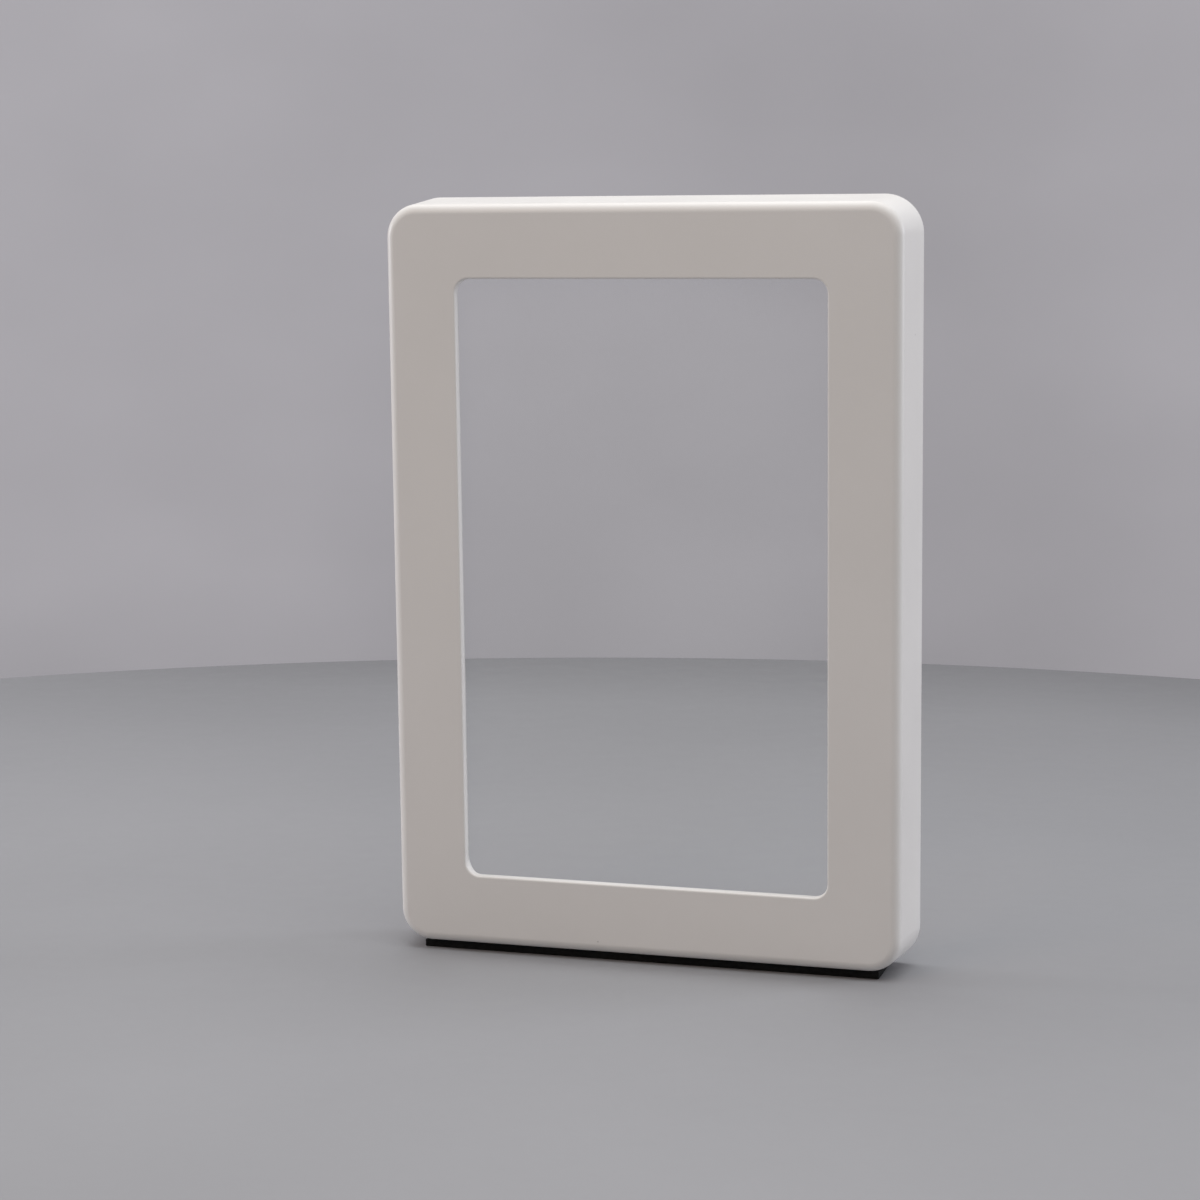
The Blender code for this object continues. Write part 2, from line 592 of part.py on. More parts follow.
def make_foot():
    """A rubber strip under the bottom wall, wedged so that the drafted wall stands level."""
    strip = block("foot_strip", (-FOOT_HALF, FOOT_HALF), FOOT_DEPTH, (0, 3), "rubber")
    slope = DRAFT / DEPTH
    for vert in strip.data.vertices:
        if vert.co.z > 0:
            depth = vert.co.y / MM + sum(FOOT_DEPTH) / 2
            wall = FOOT_PROUD + DRAFT - slope * depth
            vert.co.z = (wall - GAP) * MM - strip.location.z


make_bezel()
make_display()
make_main_board()
make_inlet()
make_keys()
make_sound_and_radio()
make_wiring()
make_rear_cover()
make_stand()
make_foot()
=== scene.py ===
import json
import random
from math import cos, pi, radians, sin

import bmesh
import bpy
from mathutils import Matrix, Vector

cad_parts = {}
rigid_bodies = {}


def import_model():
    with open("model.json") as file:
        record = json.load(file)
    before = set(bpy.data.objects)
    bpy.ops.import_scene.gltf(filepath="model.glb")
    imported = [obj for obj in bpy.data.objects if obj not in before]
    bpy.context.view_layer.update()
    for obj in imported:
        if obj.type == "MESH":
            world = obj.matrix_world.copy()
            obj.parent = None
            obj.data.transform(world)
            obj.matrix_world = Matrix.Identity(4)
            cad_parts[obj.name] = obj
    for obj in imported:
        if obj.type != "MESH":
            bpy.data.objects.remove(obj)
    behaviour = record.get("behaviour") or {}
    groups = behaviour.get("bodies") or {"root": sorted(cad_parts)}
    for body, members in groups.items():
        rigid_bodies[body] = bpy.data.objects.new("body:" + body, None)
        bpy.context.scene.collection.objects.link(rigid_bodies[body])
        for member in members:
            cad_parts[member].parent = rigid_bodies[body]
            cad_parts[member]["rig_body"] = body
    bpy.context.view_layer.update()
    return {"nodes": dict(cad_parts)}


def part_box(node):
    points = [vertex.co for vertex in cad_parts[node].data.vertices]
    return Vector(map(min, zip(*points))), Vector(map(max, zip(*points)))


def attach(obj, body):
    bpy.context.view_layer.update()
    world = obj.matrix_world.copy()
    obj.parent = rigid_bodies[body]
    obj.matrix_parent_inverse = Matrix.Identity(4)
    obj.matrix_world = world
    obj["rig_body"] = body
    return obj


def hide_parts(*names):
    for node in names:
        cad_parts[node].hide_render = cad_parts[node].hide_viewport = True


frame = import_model()
NODES = frame["nodes"]
MM = 0.001
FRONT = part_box("front_bezel")[0].y


def point(x, depth, z):
    """A place in metres from x, the depth behind the face and z, all in millimetres."""
    return Vector((x * MM, FRONT + depth * MM, z * MM))


def extent(node):
    """A CAD node's limits in millimetres along x, the depth and z."""
    low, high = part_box(node)
    return ((low.x / MM, high.x / MM), ((low.y - FRONT) / MM, (high.y - FRONT) / MM),
            (low.z / MM, high.z / MM))


def middle(node):
    """The middle of a CAD node as (x, z) in millimetres."""
    x, _, z = extent(node)
    return (sum(x) / 2, sum(z) / 2)


def numbered(name, count):
    """The names of nodes that the CAD numbers from 1."""
    return [f"{name}_{i + 1}" for i in range(count)]


def about(centre, half):
    """The limits of a stretch that reaches as far to either side of its centre."""
    return (centre - half, centre + half)


def inset(span, by):
    """A stretch drawn in by so much at both ends."""
    return (span[0] + by, span[1] - by)


# The body and its window, in millimetres
BODY_X, BODY_DEPTH, BODY_Z = extent("front_bezel")
PANEL_X, PANEL, PANEL_Z = extent("display_panel")
DEPTH = BODY_DEPTH[1]
CENTRE_Z = sum(BODY_Z) / 2
WINDOW_Z = sum(PANEL_Z) / 2
DRAFT = 1.8
FACE_W = BODY_X[1] - BODY_X[0] - 2 * DRAFT
FACE_H = BODY_Z[1] - BODY_Z[0] - 2 * DRAFT
FACE_R = 9.0
EDGE_R = 2.6
PANEL_MARGIN = 4.3
WINDOW_W = PANEL_X[1] - PANEL_X[0] - 2 * PANEL_MARGIN
WINDOW_H = PANEL_Z[1] - PANEL_Z[0] - 2 * PANEL_MARGIN
WINDOW_R = 4.0
WINDOW_EDGE = 0.6
WALL = 2.4
RIM_DEPTH = 3.3
RIM_W = 1.4
GAP = 0.3

# Behind the window
GASKET = extent("panel_gasket")[1]
RETAINER = extent("panel_retainer")[1]
RETAINER_MARGIN = 2.5
RETAINER_REACH = 7.3
MASK_MARGIN = 1.3
COVER = (18.7, 20.7)
COVER_FIT = 0.4
COVER_EDGE = 0.5
REAR_MARGIN = 6.2
REAR_R = 7.0
REAR_EDGE = 1.0
SKIRT_W = 1.6
SKIRT_START = RETAINER[1] + GAP
BOARD_DEPTH = extent("main_board")[1]
KEY_BOARD_DEPTH = extent("key_board")[1]

# Stand
BAIL_R = 1.3
BAIL_DEPTH = 18.6
BAIL_X = 68.6
BAIL_LOW = 7.4
PIVOT_END = 61.9
HINGE_Z = 112.0
HINGE_BEND = 2.2
FOOT_BEND = 6.2
BEND_STEPS = 12
PAD_R = 2.2
PAD_HALF = 8.0
GROOVE_HALF = 1.9
GROOVE_WALL = 0.8
GROOVE_FLOOR = BAIL_DEPTH - PAD_R - GAP
CHANNEL_WALL = 1.2     # below the groove's floor
POCKET_FIT = 0.6
HINGE_POCKET = (HINGE_Z - 4.4, HINGE_Z + 9.2)
PIVOT_OVERLAP = 0.4    # how far a hinge pocket reaches past the end of its pivot
NOTCH = ((-10, 10), (BAIL_LOW, BAIL_LOW + 5.2))

# Openings in the rear cover
KEY_HOLE_R = 3.7
SOUND_SLOTS, SOUND_PITCH, SOUND_HALF = 7, 3.6, (0.7, 2.6)
VENTS, VENT_X, VENT_LOW, VENT_PITCH, VENT_HALF = 9, 66.3, 144.0, 6.0, (3.3, 0.8)

SIDES = (("left", -1), ("right", 1))

KEY_NAMES = ("power", "menu", "previous", "next", "enter")
COVER_SCREWS = numbered("cover_screw", 6)
RETAINER_SCREWS = numbered("retainer_screw", 4)
BOARD_SCREWS = numbered("board_screw", 2)
KEY_SCREWS = numbered("key_board_screw", 2)
SCREW_HOLE_R = 1.15
CORNER_STEPS = 16
SLIVER = 0.002 * MM    # vertices closer than this are welded


# ---- materials

class Look:
    """A procedural material, built from a few short node calls."""

    def __init__(self, name, colour, roughness, metallic=0.0, specular=0.5):
        self.material = bpy.data.materials.new(name)
        self.material.use_nodes = True
        self.tree = self.material.node_tree
        self.shader = self.tree.nodes["Principled BSDF"]
        self.set("Base Color", (*colour, 1.0))
        self.set("Roughness", roughness)
        self.set("Metallic", metallic)
        self.set("Specular IOR Level", specular)
        self.place = self.tree.nodes.new("ShaderNodeTexCoord").outputs["Object"]

    def set(self, socket, value):
        self.shader.inputs[socket].default_value = value

    def link(self, source, socket):
        self.tree.links.new(source, self.shader.inputs[socket])

    def add(self, kind, output, inputs):
        """A new node's output; each input named is given a value, or a link from another node."""
        node = self.tree.nodes.new(kind)
        for socket, value in inputs.items():
            if isinstance(value, bpy.types.NodeSocket):
                self.tree.links.new(value, node.inputs[socket])
            else:
                node.inputs[socket].default_value = value
        return node.outputs[output]

    def texture(self, kind, scale, output="Fac", stretch=None, **inputs):
        """A texture of the object's own coordinates, stretched along its axes if asked."""
        place = self.place
        if stretch:
            place = self.add("ShaderNodeMapping", "Vector", {"Scale": stretch, "Vector": place})
        return self.add(kind, output, {"Scale": scale, **inputs, "Vector": place})

    def noise(self, scale, detail=3.0, stretch=None):
        return self.texture("ShaderNodeTexNoise", scale, stretch=stretch, Detail=detail)

    def cells(self, scale):
        return self.texture("ShaderNodeTexVoronoi", scale, output="Distance")

    def lines(self, scale, turn=(1.0, 1.0, 1.0), distortion=0.0):
        return self.texture("ShaderNodeTexWave", scale, stretch=turn, Distortion=distortion)

    def along(self, axis, start, end):
        """0 to 1 between two places on one of the object's axes, in metres."""
        part = self.add("ShaderNodeSeparateXYZ", axis, {"Vector": self.place})
        return self.add("ShaderNodeMapRange", "Result",
                        {"From Min": start, "From Max": end, "Value": part})

    def ramp(self, fac, *stops):
        """Greys or colours that follow a texture, as (position, value) stops."""
        node = self.tree.nodes.new("ShaderNodeValToRGB")
        elements = node.color_ramp.elements
        while len(elements) < len(stops):
            elements.new(0.5)
        for element, (position, value) in zip(elements, stops):
            element.position = position
            colour = value if isinstance(value, tuple) else (value,) * 3
            element.color = (*colour, 1.0)
        self.tree.links.new(fac, node.inputs["Fac"])
        return node.outputs["Color"]

    def vary(self, socket, fac, *stops):
        """Drive one of the shader's sockets with a ramp over a texture."""
        self.link(self.ramp(fac, *stops), socket)

    def multiply(self, first, second):
        """One tone dimmed by another."""
        node = self.tree.nodes.new("ShaderNodeMix")
        node.data_type = "RGBA"
        node.blend_type = "MULTIPLY"
        node.inputs["Factor"].default_value = 1.0
        self.tree.links.new(first, node.inputs["A"])
        self.tree.links.new(second, node.inputs["B"])
        return node.outputs["Result"]

    def bump(self, height, distance, strength, onto=None):
        """Relief of a depth in metres that follows a texture, and goes onto another if given."""
        below = {"Normal": onto} if onto else {}
        relief = self.add("ShaderNodeBump", "Normal",
                          {"Distance": distance, "Strength": strength, "Height": height, **below})
        self.link(relief, "Normal")
        return relief


def shaded(colour, share):
    """A colour made darker or lighter by one share."""
    return tuple(share * c for c in colour)


def moulded_plastic(name, colour, roughness, grain, dust):
    """Moulded ABS: spark-eroded grain, faint blotches, and dust specks where dust is above 0."""
    look = Look(name, colour, roughness, specular=0.4)
    tone = look.ramp(look.noise(26.0, 4.0), (0.32, shaded(colour, 0.97)), (0.68, colour))
    if dust:
        specks = look.ramp(look.cells(dust), (0.0, 0.5), (0.012, 0.7), (0.022, 1.0))
        tone = look.multiply(tone, specks)
    look.link(tone, "Base Color")
    look.vary("Roughness", look.noise(60.0, 5.0), (0.3, roughness - 0.05), (0.7, roughness + 0.06))
    fine = look.bump(look.noise(2400.0, 2.0), grain, 0.6)
    look.bump(look.noise(380.0, 2.0), 2 * grain, 0.25, onto=fine)
    return look.material


def clear_display(name):
    """Coated glass that passes nearly all of the light, with faint wiping marks in its gloss."""
    look = Look(name, (0.82, 0.88, 0.9), 0.05, specular=0.35)
    look.vary("Roughness", look.noise(30.0, 6.0, (1.0, 1.0, 0.3)), (0.35, 0.03), (0.75, 0.12))
    look.bump(look.noise(12.0, 1.0), 0.00001, 0.1)
    look.set("Alpha", 0.04)
    return look.material


def metal(name, colour, roughness, brush):
    """Drawn, rolled or plated metal, with its fine lines stretched as brush says."""
    look = Look(name, colour, roughness, metallic=1.0)
    drawn = look.noise(1.0, 4.0, brush)
    look.vary("Roughness", drawn, (0.3, roughness - 0.08), (0.7, roughness + 0.12))
    look.vary("Base Color", look.noise(170.0, 5.0), (0.35, shaded(colour, 0.8)), (0.62, colour))
    look.bump(drawn, 0.00001, 0.5)
    return look.material


def rubber(name, grey, roughness, dust):
    """Black rubber or foam with a porous skin and pale dust in its pores."""
    look = Look(name, (grey,) * 3, roughness, specular=0.15)
    pores = look.noise(900.0, 6.0)
    look.vary("Base Color", pores, (0.35, 0.7 * grey), (0.72, grey * dust))
    look.vary("Roughness", look.noise(110.0, 3.0), (0.3, roughness - 0.1), (0.7, roughness + 0.08))
    look.bump(pores, 0.00006, 0.7)
    return look.material


def circuit_board(name):
    """Green solder mask that shows the copper tracks below it."""
    look = Look(name, (0.02, 0.13, 0.07), 0.35)
    tracks = look.lines(95.0, (1.0, 1.0, 0.25), 4.0)
    mask = look.ramp(tracks, (0.47, (0.008, 0.065, 0.033)), (0.53, (0.02, 0.17, 0.085)))
    weave = look.ramp(look.lines(420.0), (0.3, 0.88), (0.7, 1.0))
    look.link(look.multiply(mask, weave), "Base Color")
    look.vary("Roughness", look.noise(300.0), (0.3, 0.26), (0.7, 0.42))
    look.bump(tracks, 0.00003, 0.5)
    look.set("Coat Weight", 0.3)
    return look.material


def plain(name, colour, roughness, scale=500.0, metallic=0.0):
    """A small part's finish: an even colour with a fine mottle in tone, gloss and height."""
    look = Look(name, colour, roughness, metallic=metallic)
    fine = look.noise(scale, 4.0)
    look.vary("Base Color", fine, (0.3, shaded(colour, 0.8)), (0.7, shaded(colour, 1.08)))
    look.vary("Roughness", fine, (0.3, roughness + 0.08), (0.7, roughness - 0.06))
    look.bump(look.noise(3 * scale, 2.0), 0.00001, 0.5)
    return look.material


def amber_film(name):
    """Polyimide film over fine copper tracks that run along z."""
    colour = (0.33, 0.145, 0.03)
    look = Look(name, colour, 0.3)
    tracks = look.lines(520.0)
    look.vary("Base Color", tracks, (0.4, shaded(colour, 0.7)), (0.6, (0.5, 0.24, 0.07)))
    look.vary("Roughness", look.noise(90.0), (0.3, 0.22), (0.7, 0.4))
    look.bump(tracks, 0.00002, 0.4)
    return look.material


HOUSING_WHITE = (0.80, 0.782, 0.76)
COVER_WHITE = (0.77, 0.76, 0.745)
KEY_GREY = (0.30, 0.30, 0.31)
LOOKS = {
    "housing": (moulded_plastic("housing_white", HOUSING_WHITE, 0.4, 0.00002, 70.0), "housing"),
    "cover": (moulded_plastic("cover_white", COVER_WHITE, 0.58, 0.00004, 0.0), "cover"),
    "key": (moulded_plastic("key_grey", KEY_GREY, 0.45, 0.00002, 0.0), "key"),
    "glass": (clear_display("clear_display"), "glass"),
    "mask": (plain("display_mask_black", (0.012, 0.012, 0.013), 0.3), "glass"),
    "gasket": (rubber("foam_black", 0.02, 0.9, 1.6), "gasket"),
    "rubber": (rubber("rubber_black", 0.007, 0.85, 1.8), "rubber"),
    "retainer": (metal("rolled_aluminium", (0.74, 0.75, 0.76), 0.36, (1500.0, 60.0, 30.0)),
                 "retainer"),
    "steel": (metal("plated_steel", (0.60, 0.59, 0.57), 0.28, (300.0, 300.0, 900.0)), "steel"),
    "wire_steel": (metal("drawn_steel_wire", (0.62, 0.61, 0.6), 0.3, (60.0, 900.0, 60.0)),
                   "steel"),
    "gold": (plain("contact_gold", (0.83, 0.62, 0.27), 0.25, metallic=1.0), "steel"),
    "copper": (plain("copper_winding", (0.72, 0.33, 0.16), 0.3, metallic=1.0), "steel"),
    "tin": (plain("tinned_lead", (0.72, 0.72, 0.7), 0.3, metallic=1.0), "shield"),
    "shield": (metal("tinned_sheet", (0.68, 0.68, 0.65), 0.32, (900.0, 60.0, 60.0)), "shield"),
    "board": (circuit_board("solder_mask_green"), "board"),
    "chip": (plain("chip_epoxy_black", (0.022, 0.022, 0.024), 0.5), "chip"),
    "ceramic": (plain("ceramic_tan", (0.42, 0.33, 0.22), 0.5), "chip"),
    "connector": (plain("nylon_ivory", (0.70, 0.67, 0.58), 0.45, 180.0), "connector"),
    "flex": (amber_film("flex_amber"), "flex"),
    "wire_grey": (plain("jacket_grey", (0.2, 0.2, 0.21), 0.5), "wire"),
    "wire_red": (plain("jacket_red", (0.35, 0.02, 0.02), 0.5), "wire"),
    "wire_black": (plain("jacket_black", (0.02, 0.02, 0.022), 0.5), "wire"),
}


# ---- mesh building

def show_new(name, data):
    """An object of new data, linked to the scene."""
    obj = bpy.data.objects.new(name, data)
    bpy.context.scene.collection.objects.link(obj)
    return obj


def finish_mesh(bm, name, look=None, crease=35.0):
    """Make an object of a bmesh, smooth apart from its creases."""
    bmesh.ops.recalc_face_normals(bm, faces=bm.faces)
    mesh = bpy.data.meshes.new(name)
    bm.to_mesh(mesh)
    bm.free()
    obj = show_new(name, mesh)
    if look:
        material, slot = LOOKS[look]
        mesh.materials.append(material)
    mesh.shade_smooth()
    mesh.set_sharp_from_angle(angle=radians(crease))
    return obj


def skin(bm, loops, closed=False):
    """Join loops of vertices into a skin, with a cap at each end or closed round a hole."""
    count = len(loops[0])
    pairs = list(zip(loops, loops[1:]))
    if closed:
        pairs.append((loops[-1], loops[0]))
    else:
        bm.faces.new(loops[0])
        bm.faces.new(loops[-1])
    for near, far in pairs:
        for i in range(count):
            j = (i + 1) % count
            bm.faces.new((near[i], near[j], far[j], far[i]))


def rounded(half_u, half_v, radius, centre, steps=CORNER_STEPS):
    """A rounded rectangle as a function that gives its points when it has grown by so much."""
    def outline(growth):
        r = max(radius + growth, 0.01)
        points = []
        for su, sv, start in ((1, 1, 0), (-1, 1, 90), (-1, -1, 180), (1, -1, 270)):
            for i in range(steps + 1):
                angle = radians(start + 90 * i / steps)
                points.append((centre[0] + su * (half_u + growth - r) + r * cos(angle),
                               centre[1] + sv * (half_v + growth - r) + r * sin(angle)))
        return points
    return outline


def box_outline(u, v, radius, steps=4):
    """A rounded rectangle from its limits."""
    centre = (sum(u) / 2, sum(v) / 2)
    return rounded((u[1] - u[0]) / 2, (v[1] - v[0]) / 2, radius, centre, steps)


def circle(centre, radius, sides=28):
    """A circle as a function of its growth, as rounded gives for a rectangle."""
    def outline(growth):
        angles = [2 * pi * i / sides for i in range(sides)]
        return [(centre[0] + (radius + growth) * cos(a), centre[1] + (radius + growth) * sin(a))
                for a in angles]
    return outline


def band(path, half_width):
    """The outline of a band of even width along an (x, z) path."""
    def outline(growth):
        left, right = [], []
        for i, place in enumerate(path):
            ahead = (path[min(i + 1, len(path) - 1)] - path[max(i - 1, 0)]).normalized()
            aside = Vector((-ahead.y, ahead.x)) * (half_width + growth)
            left.append(place + aside)
            right.append(place - aside)
        return [(p.x, p.y) for p in left + right[::-1]]
    return outline


def around_window(radius):
    """The window's outline, with a corner radius that grows with it."""
    return rounded(WINDOW_W / 2, WINDOW_H / 2, radius, (0, WINDOW_Z))


WINDOW = around_window(WINDOW_R)
FACE = rounded(FACE_W / 2, FACE_H / 2, FACE_R, (0, CENTRE_Z))


def drafted(depth, inset):
    """A section of the tapered body at a depth, less an inset."""
    return (depth, FACE, DRAFT * depth / DEPTH - inset)


def along_depth(position, u, v):
    return point(u, position, v)


def along_x(position, u, v):
    return point(position, u, v)


def loft(name, sections, look=None, closed=False, axis=along_depth, crease=35.0):
    """A solid through sections, each (position, outline, growth of the outline)."""
    bm = bmesh.new()
    loops = [[bm.verts.new(axis(position, u, v)) for u, v in outline(growth)]
             for position, outline, growth in sections]
    skin(bm, loops, closed)
    return finish_mesh(bm, name, look, crease)


def quarter(steps):
    """(sine, cosine) from 0 to 90 degrees, for rounding an edge."""
    return [(sin(pi / 2 * i / steps), cos(pi / 2 * i / steps)) for i in range(steps + 1)]


def prism(name, outline, ends, look=None, front=0.0, rear=0.0, steps=3, axis=along_depth):
    """A solid of one outline between two positions, with its two edges rounded."""
    sections = [(ends[0], outline, 0.0)]
    if front:
        sections = [(ends[0] + front * (1 - c), outline, front * (s - 1))
                    for s, c in quarter(steps)]
    if rear:
        sections += [(ends[1] - rear * (1 - s), outline, rear * (c - 1))
                     for s, c in quarter(steps)]
    else:
        sections.append((ends[1], outline, 0.0))
    return loft(name, sections, look, axis=axis)


def cutter(outline, floor, face, edge, floor_round=0.0, steps=4):
    """A hole from a floor out through the rear face at face, which leaves a rounded edge there."""
    sections = [(floor, outline, 0.0)]
    if floor_round:
        sections = [(floor + floor_round * (1 - c), outline, floor_round * (s - 1))
                    for s, c in quarter(steps)]
    sections += [(face - edge * (1 - s), outline, edge * (1 - c)) for s, c in quarter(steps)]
    sections.append((face + 2, outline, edge))
    return loft("cutter", sections)


def bricks(name, limits, look=None, bevel=0.0, segments=2):
    """Boxes of one finish from their limits in x, depth and z, with rounded edges."""
    bm = bmesh.new()
    for x, depth, z in limits:
        low, high = point(x[0], depth[0], z[0]), point(x[1], depth[1], z[1])
        verts = bmesh.ops.create_cube(bm, size=1.0)["verts"]
        bmesh.ops.scale(bm, vec=high - low, verts=verts)
        bmesh.ops.translate(bm, vec=(high + low) / 2, verts=verts)
        if bevel:
            edges = list({edge for vert in verts for edge in vert.link_edges})
            bmesh.ops.bevel(bm, geom=edges, offset=bevel * MM, segments=segments, profile=0.5,
                            affect="EDGES")
    return finish_mesh(bm, name, look)


def brick(name, x, depth, z, look=None, bevel=0.0, segments=2):
    return bricks(name, [(x, depth, z)], look, bevel, segments)


def ring(bm, radii, height):
    """A ring of vertices about the z axis, with a radius in millimetres for each."""
    turns = [2 * pi * i / len(radii) for i in range(len(radii))]
    return [bm.verts.new((radius * MM * cos(a), radius * MM * sin(a), height * MM))
            for radius, a in zip(radii, turns)]


def turned(name, profile, look=None, sides=32, closed=False, crease=35.0):
    """A turned piece about its own z axis, from (radius, height) points in millimetres."""
    bm = bmesh.new()
    skin(bm, [ring(bm, [radius] * sides, height) for radius, height in profile], closed)
    return finish_mesh(bm, name, look, crease)


def set_down(obj, place, turn):
    """Move an object's mesh to a place in metres, turned first; its origin stays at 0."""
    obj.data.transform(Matrix.Translation(place) @ turn)
    return obj


TO_REAR = Matrix.Rotation(-pi / 2, 4, "X")
TO_RIGHT = Matrix.Rotation(pi / 2, 4, "Y")


def merge(name, pieces):
    """Join objects into one, each keeping its own finish."""
    for obj in bpy.context.selected_objects:
        obj.select_set(False)
    for piece in pieces:
        piece.select_set(True)
    bpy.context.view_layer.objects.active = pieces[0]
    bpy.ops.object.join()
    pieces[0].name = name
    return pieces[0]


def boolean(obj, other, operation):
    """Cut or join, at once, so that what follows reads a plain mesh."""
    step = obj.modifiers.new("step", "BOOLEAN")
    step.operation = operation
    step.solver = "EXACT"
    step.object = other
    graph = bpy.context.evaluated_depsgraph_get()
    mesh = bpy.data.meshes.new_from_object(obj.evaluated_get(graph))
    obj.modifiers.clear()
    obj.data = mesh
    bpy.data.objects.remove(other, do_unlink=True)


def cut(obj, other):
    boolean(obj, other, "DIFFERENCE")


def join(obj, other):
    boolean(obj, other, "UNION")


def settle(obj, crease=35.0):
    """Weld slivers away and shade the large faces flat beside their rounded edges."""
    bm = bmesh.new()
    bm.from_mesh(obj.data)
    bmesh.ops.remove_doubles(bm, verts=bm.verts, dist=SLIVER)
    bmesh.ops.dissolve_degenerate(bm, edges=bm.edges, dist=SLIVER)
    bm.to_mesh(obj.data)
    bm.free()
    obj.data.shade_smooth()
    obj.data.set_sharp_from_angle(angle=radians(crease))
    flat = obj.modifiers.new("flat_faces", "WEIGHTED_NORMAL")
    flat.keep_sharp = True
    flat.weight = 90
    return obj


def stand_in(obj, *nodes):
    """Show an object in place of CAD nodes, on the body that carries them."""
    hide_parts(*nodes)
    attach(obj, NODES[nodes[0]]["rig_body"])
    return obj


def assemble(node, pieces):
    """Show pieces, joined into one, in place of their CAD node."""
    stand_in(merge(f"{node}_detailed", pieces), node)


def bend(points, radii):
    """Round the inner corners of an (x, z) path with arcs of the given radii."""
    path = [Vector(points[0])]
    for before, corner, after, radius in zip(points, points[1:], points[2:], radii):
        corner = Vector(corner)
        way_in = (Vector(before) - corner).normalized()
        way_out = (Vector(after) - corner).normalized()
        centre = corner + (way_in + way_out) * radius
        for s, c in quarter(BEND_STEPS):
            path.append(centre - way_out * radius * c - way_in * radius * s)
    path.append(Vector(points[-1]))
    return path


def smooth(points, per_span=6):
    """A smooth route through given points."""
    points = [Vector(p) for p in points]
    padded = [points[0] * 2 - points[1]] + points + [points[-1] * 2 - points[-2]]
    route = []
    for a, b, c, d in zip(padded, padded[1:], padded[2:], padded[3:]):
        for i in range(per_span):
            t = i / per_span
            route.append(0.5 * (2 * b + (c - a) * t + (2 * a - 5 * b + 4 * c - d) * t ** 2
                                + (3 * b - a - 3 * c + d) * t ** 3))
    route.append(points[-1])
    return route


def bar(name, path, radius, look, sides=24, edge=0.35):
    """A round bar or wire along points in metres, with the rims of its ends rounded."""
    aheads = [(path[min(i + 1, len(path) - 1)] - path[max(i - 1, 0)]).normalized()
              for i in range(len(path))]
    inset = edge * radius * MM
    stations = [(path[0] + aheads[0] * inset * (1 - c), aheads[0], radius * (1 - edge * (1 - s)))
                for s, c in quarter(3)]
    stations += [(p, ahead, radius) for p, ahead in zip(path[1:-1], aheads[1:-1])]
    stations += [(path[-1] - aheads[-1] * inset * (1 - s), aheads[-1],
                  radius * (1 - edge * (1 - c))) for s, c in quarter(3)]
    bm = bmesh.new()
    aside = aheads[0].orthogonal().normalized()
    loops = []
    for centre, ahead, size in stations:
        aside = (aside - ahead * aside.dot(ahead)).normalized()
        other = ahead.cross(aside)
        loops.append([bm.verts.new(centre + (aside * cos(2 * pi * k / sides)
                                             + other * sin(2 * pi * k / sides)) * size * MM)
                      for k in range(sides)])
    skin(bm, loops)
    return finish_mesh(bm, name, look, crease=50.0)


# ---- housing

def bores(screws, depths, sides):
    """The clearance holes of screws through a plate."""
    return [prism("hole", circle(p, SCREW_HOLE_R, sides), (depths[0] - 1, depths[1] + 1))
            for p in places(screws)]


def places(nodes):
    return [middle(node) for node in nodes]


def make_bezel():
    """The white front shell: one skin from the window's edge over the face and round inside."""
    rim_edge, lip_edge, floor_corner = 0.35, 0.9, 1.0
    sections = [(WINDOW_EDGE * (1 - s), WINDOW, WINDOW_EDGE * (1 - c)) for s, c in quarter(5)]
    sections += [drafted(EDGE_R * (1 - c), EDGE_R * (1 - s)) for s, c in quarter(12)]
    sections += [drafted(DEPTH - rim_edge * (1 - s), rim_edge * (1 - c)) for s, c in quarter(4)]
    sections += [drafted(DEPTH - rim_edge * (1 - c), WALL - rim_edge * (1 - s))
                 for s, c in quarter(3)]
    sections += [drafted(WALL + floor_corner * (1 - s), WALL + floor_corner * (1 - c))
                 for s, c in quarter(4)]
    sections += [(WALL, WINDOW, RIM_W), (RIM_DEPTH, WINDOW, RIM_W)]
    sections += [(RIM_DEPTH - lip_edge * (1 - c), WINDOW, lip_edge * (1 - s))
                 for s, c in quarter(3)]
    bezel = loft("front_bezel_detailed", sections, "housing", closed=True)

    post_r, bore_r, root, bore_end = 2.1, 0.95, WALL - 0.4, WALL + 0.8
    posts = ((COVER_SCREWS, COVER[0] - GAP), (RETAINER_SCREWS, RETAINER[0] - GAP),
             (BOARD_SCREWS + ["inlet_screw"], BOARD_DEPTH[0] - GAP),
             (KEY_SCREWS, KEY_BOARD_DEPTH[0] - GAP))
    for nodes, end in posts:
        join(bezel, merge("posts", [prism("post", circle(p, post_r), (root, end), rear=0.2)
                                    for p in places(nodes)]))
        cut(bezel, merge("bores", [prism("bore", circle(p, bore_r, 16), (bore_end, end + 1))
                                   for p in places(nodes)]))

    _, socket_depth, socket_z = extent("usb_socket")
    half_depth, half_z, corner, chamfer = 2.0, 5.0, 1.2, 0.4
    before, through = 3, 6
    middle_depth = sum(socket_depth) / 2
    port = rounded(half_depth, half_z, corner, (middle_depth, sum(socket_z) / 2), 6)
    outside = -FACE_W / 2 - DRAFT * middle_depth / DEPTH
    cut(bezel, loft("port", [(outside - before, port, chamfer), (outside, port, chamfer),
                             (outside + chamfer, port, 0), (outside + through, port, 0)],
                    axis=along_x))
    stand_in(settle(bezel), "front_bezel")


def stand_path():
    """The wire's centre line as (x, z): both pivots turn inwards at the top of the arms."""
    corners = [(-PIVOT_END, HINGE_Z), (-BAIL_X, HINGE_Z), (-BAIL_X, BAIL_LOW),
               (BAIL_X, BAIL_LOW), (BAIL_X, HINGE_Z), (PIVOT_END, HINGE_Z)]
    return bend(corners, (HINGE_BEND, FOOT_BEND, FOOT_BEND, HINGE_BEND))


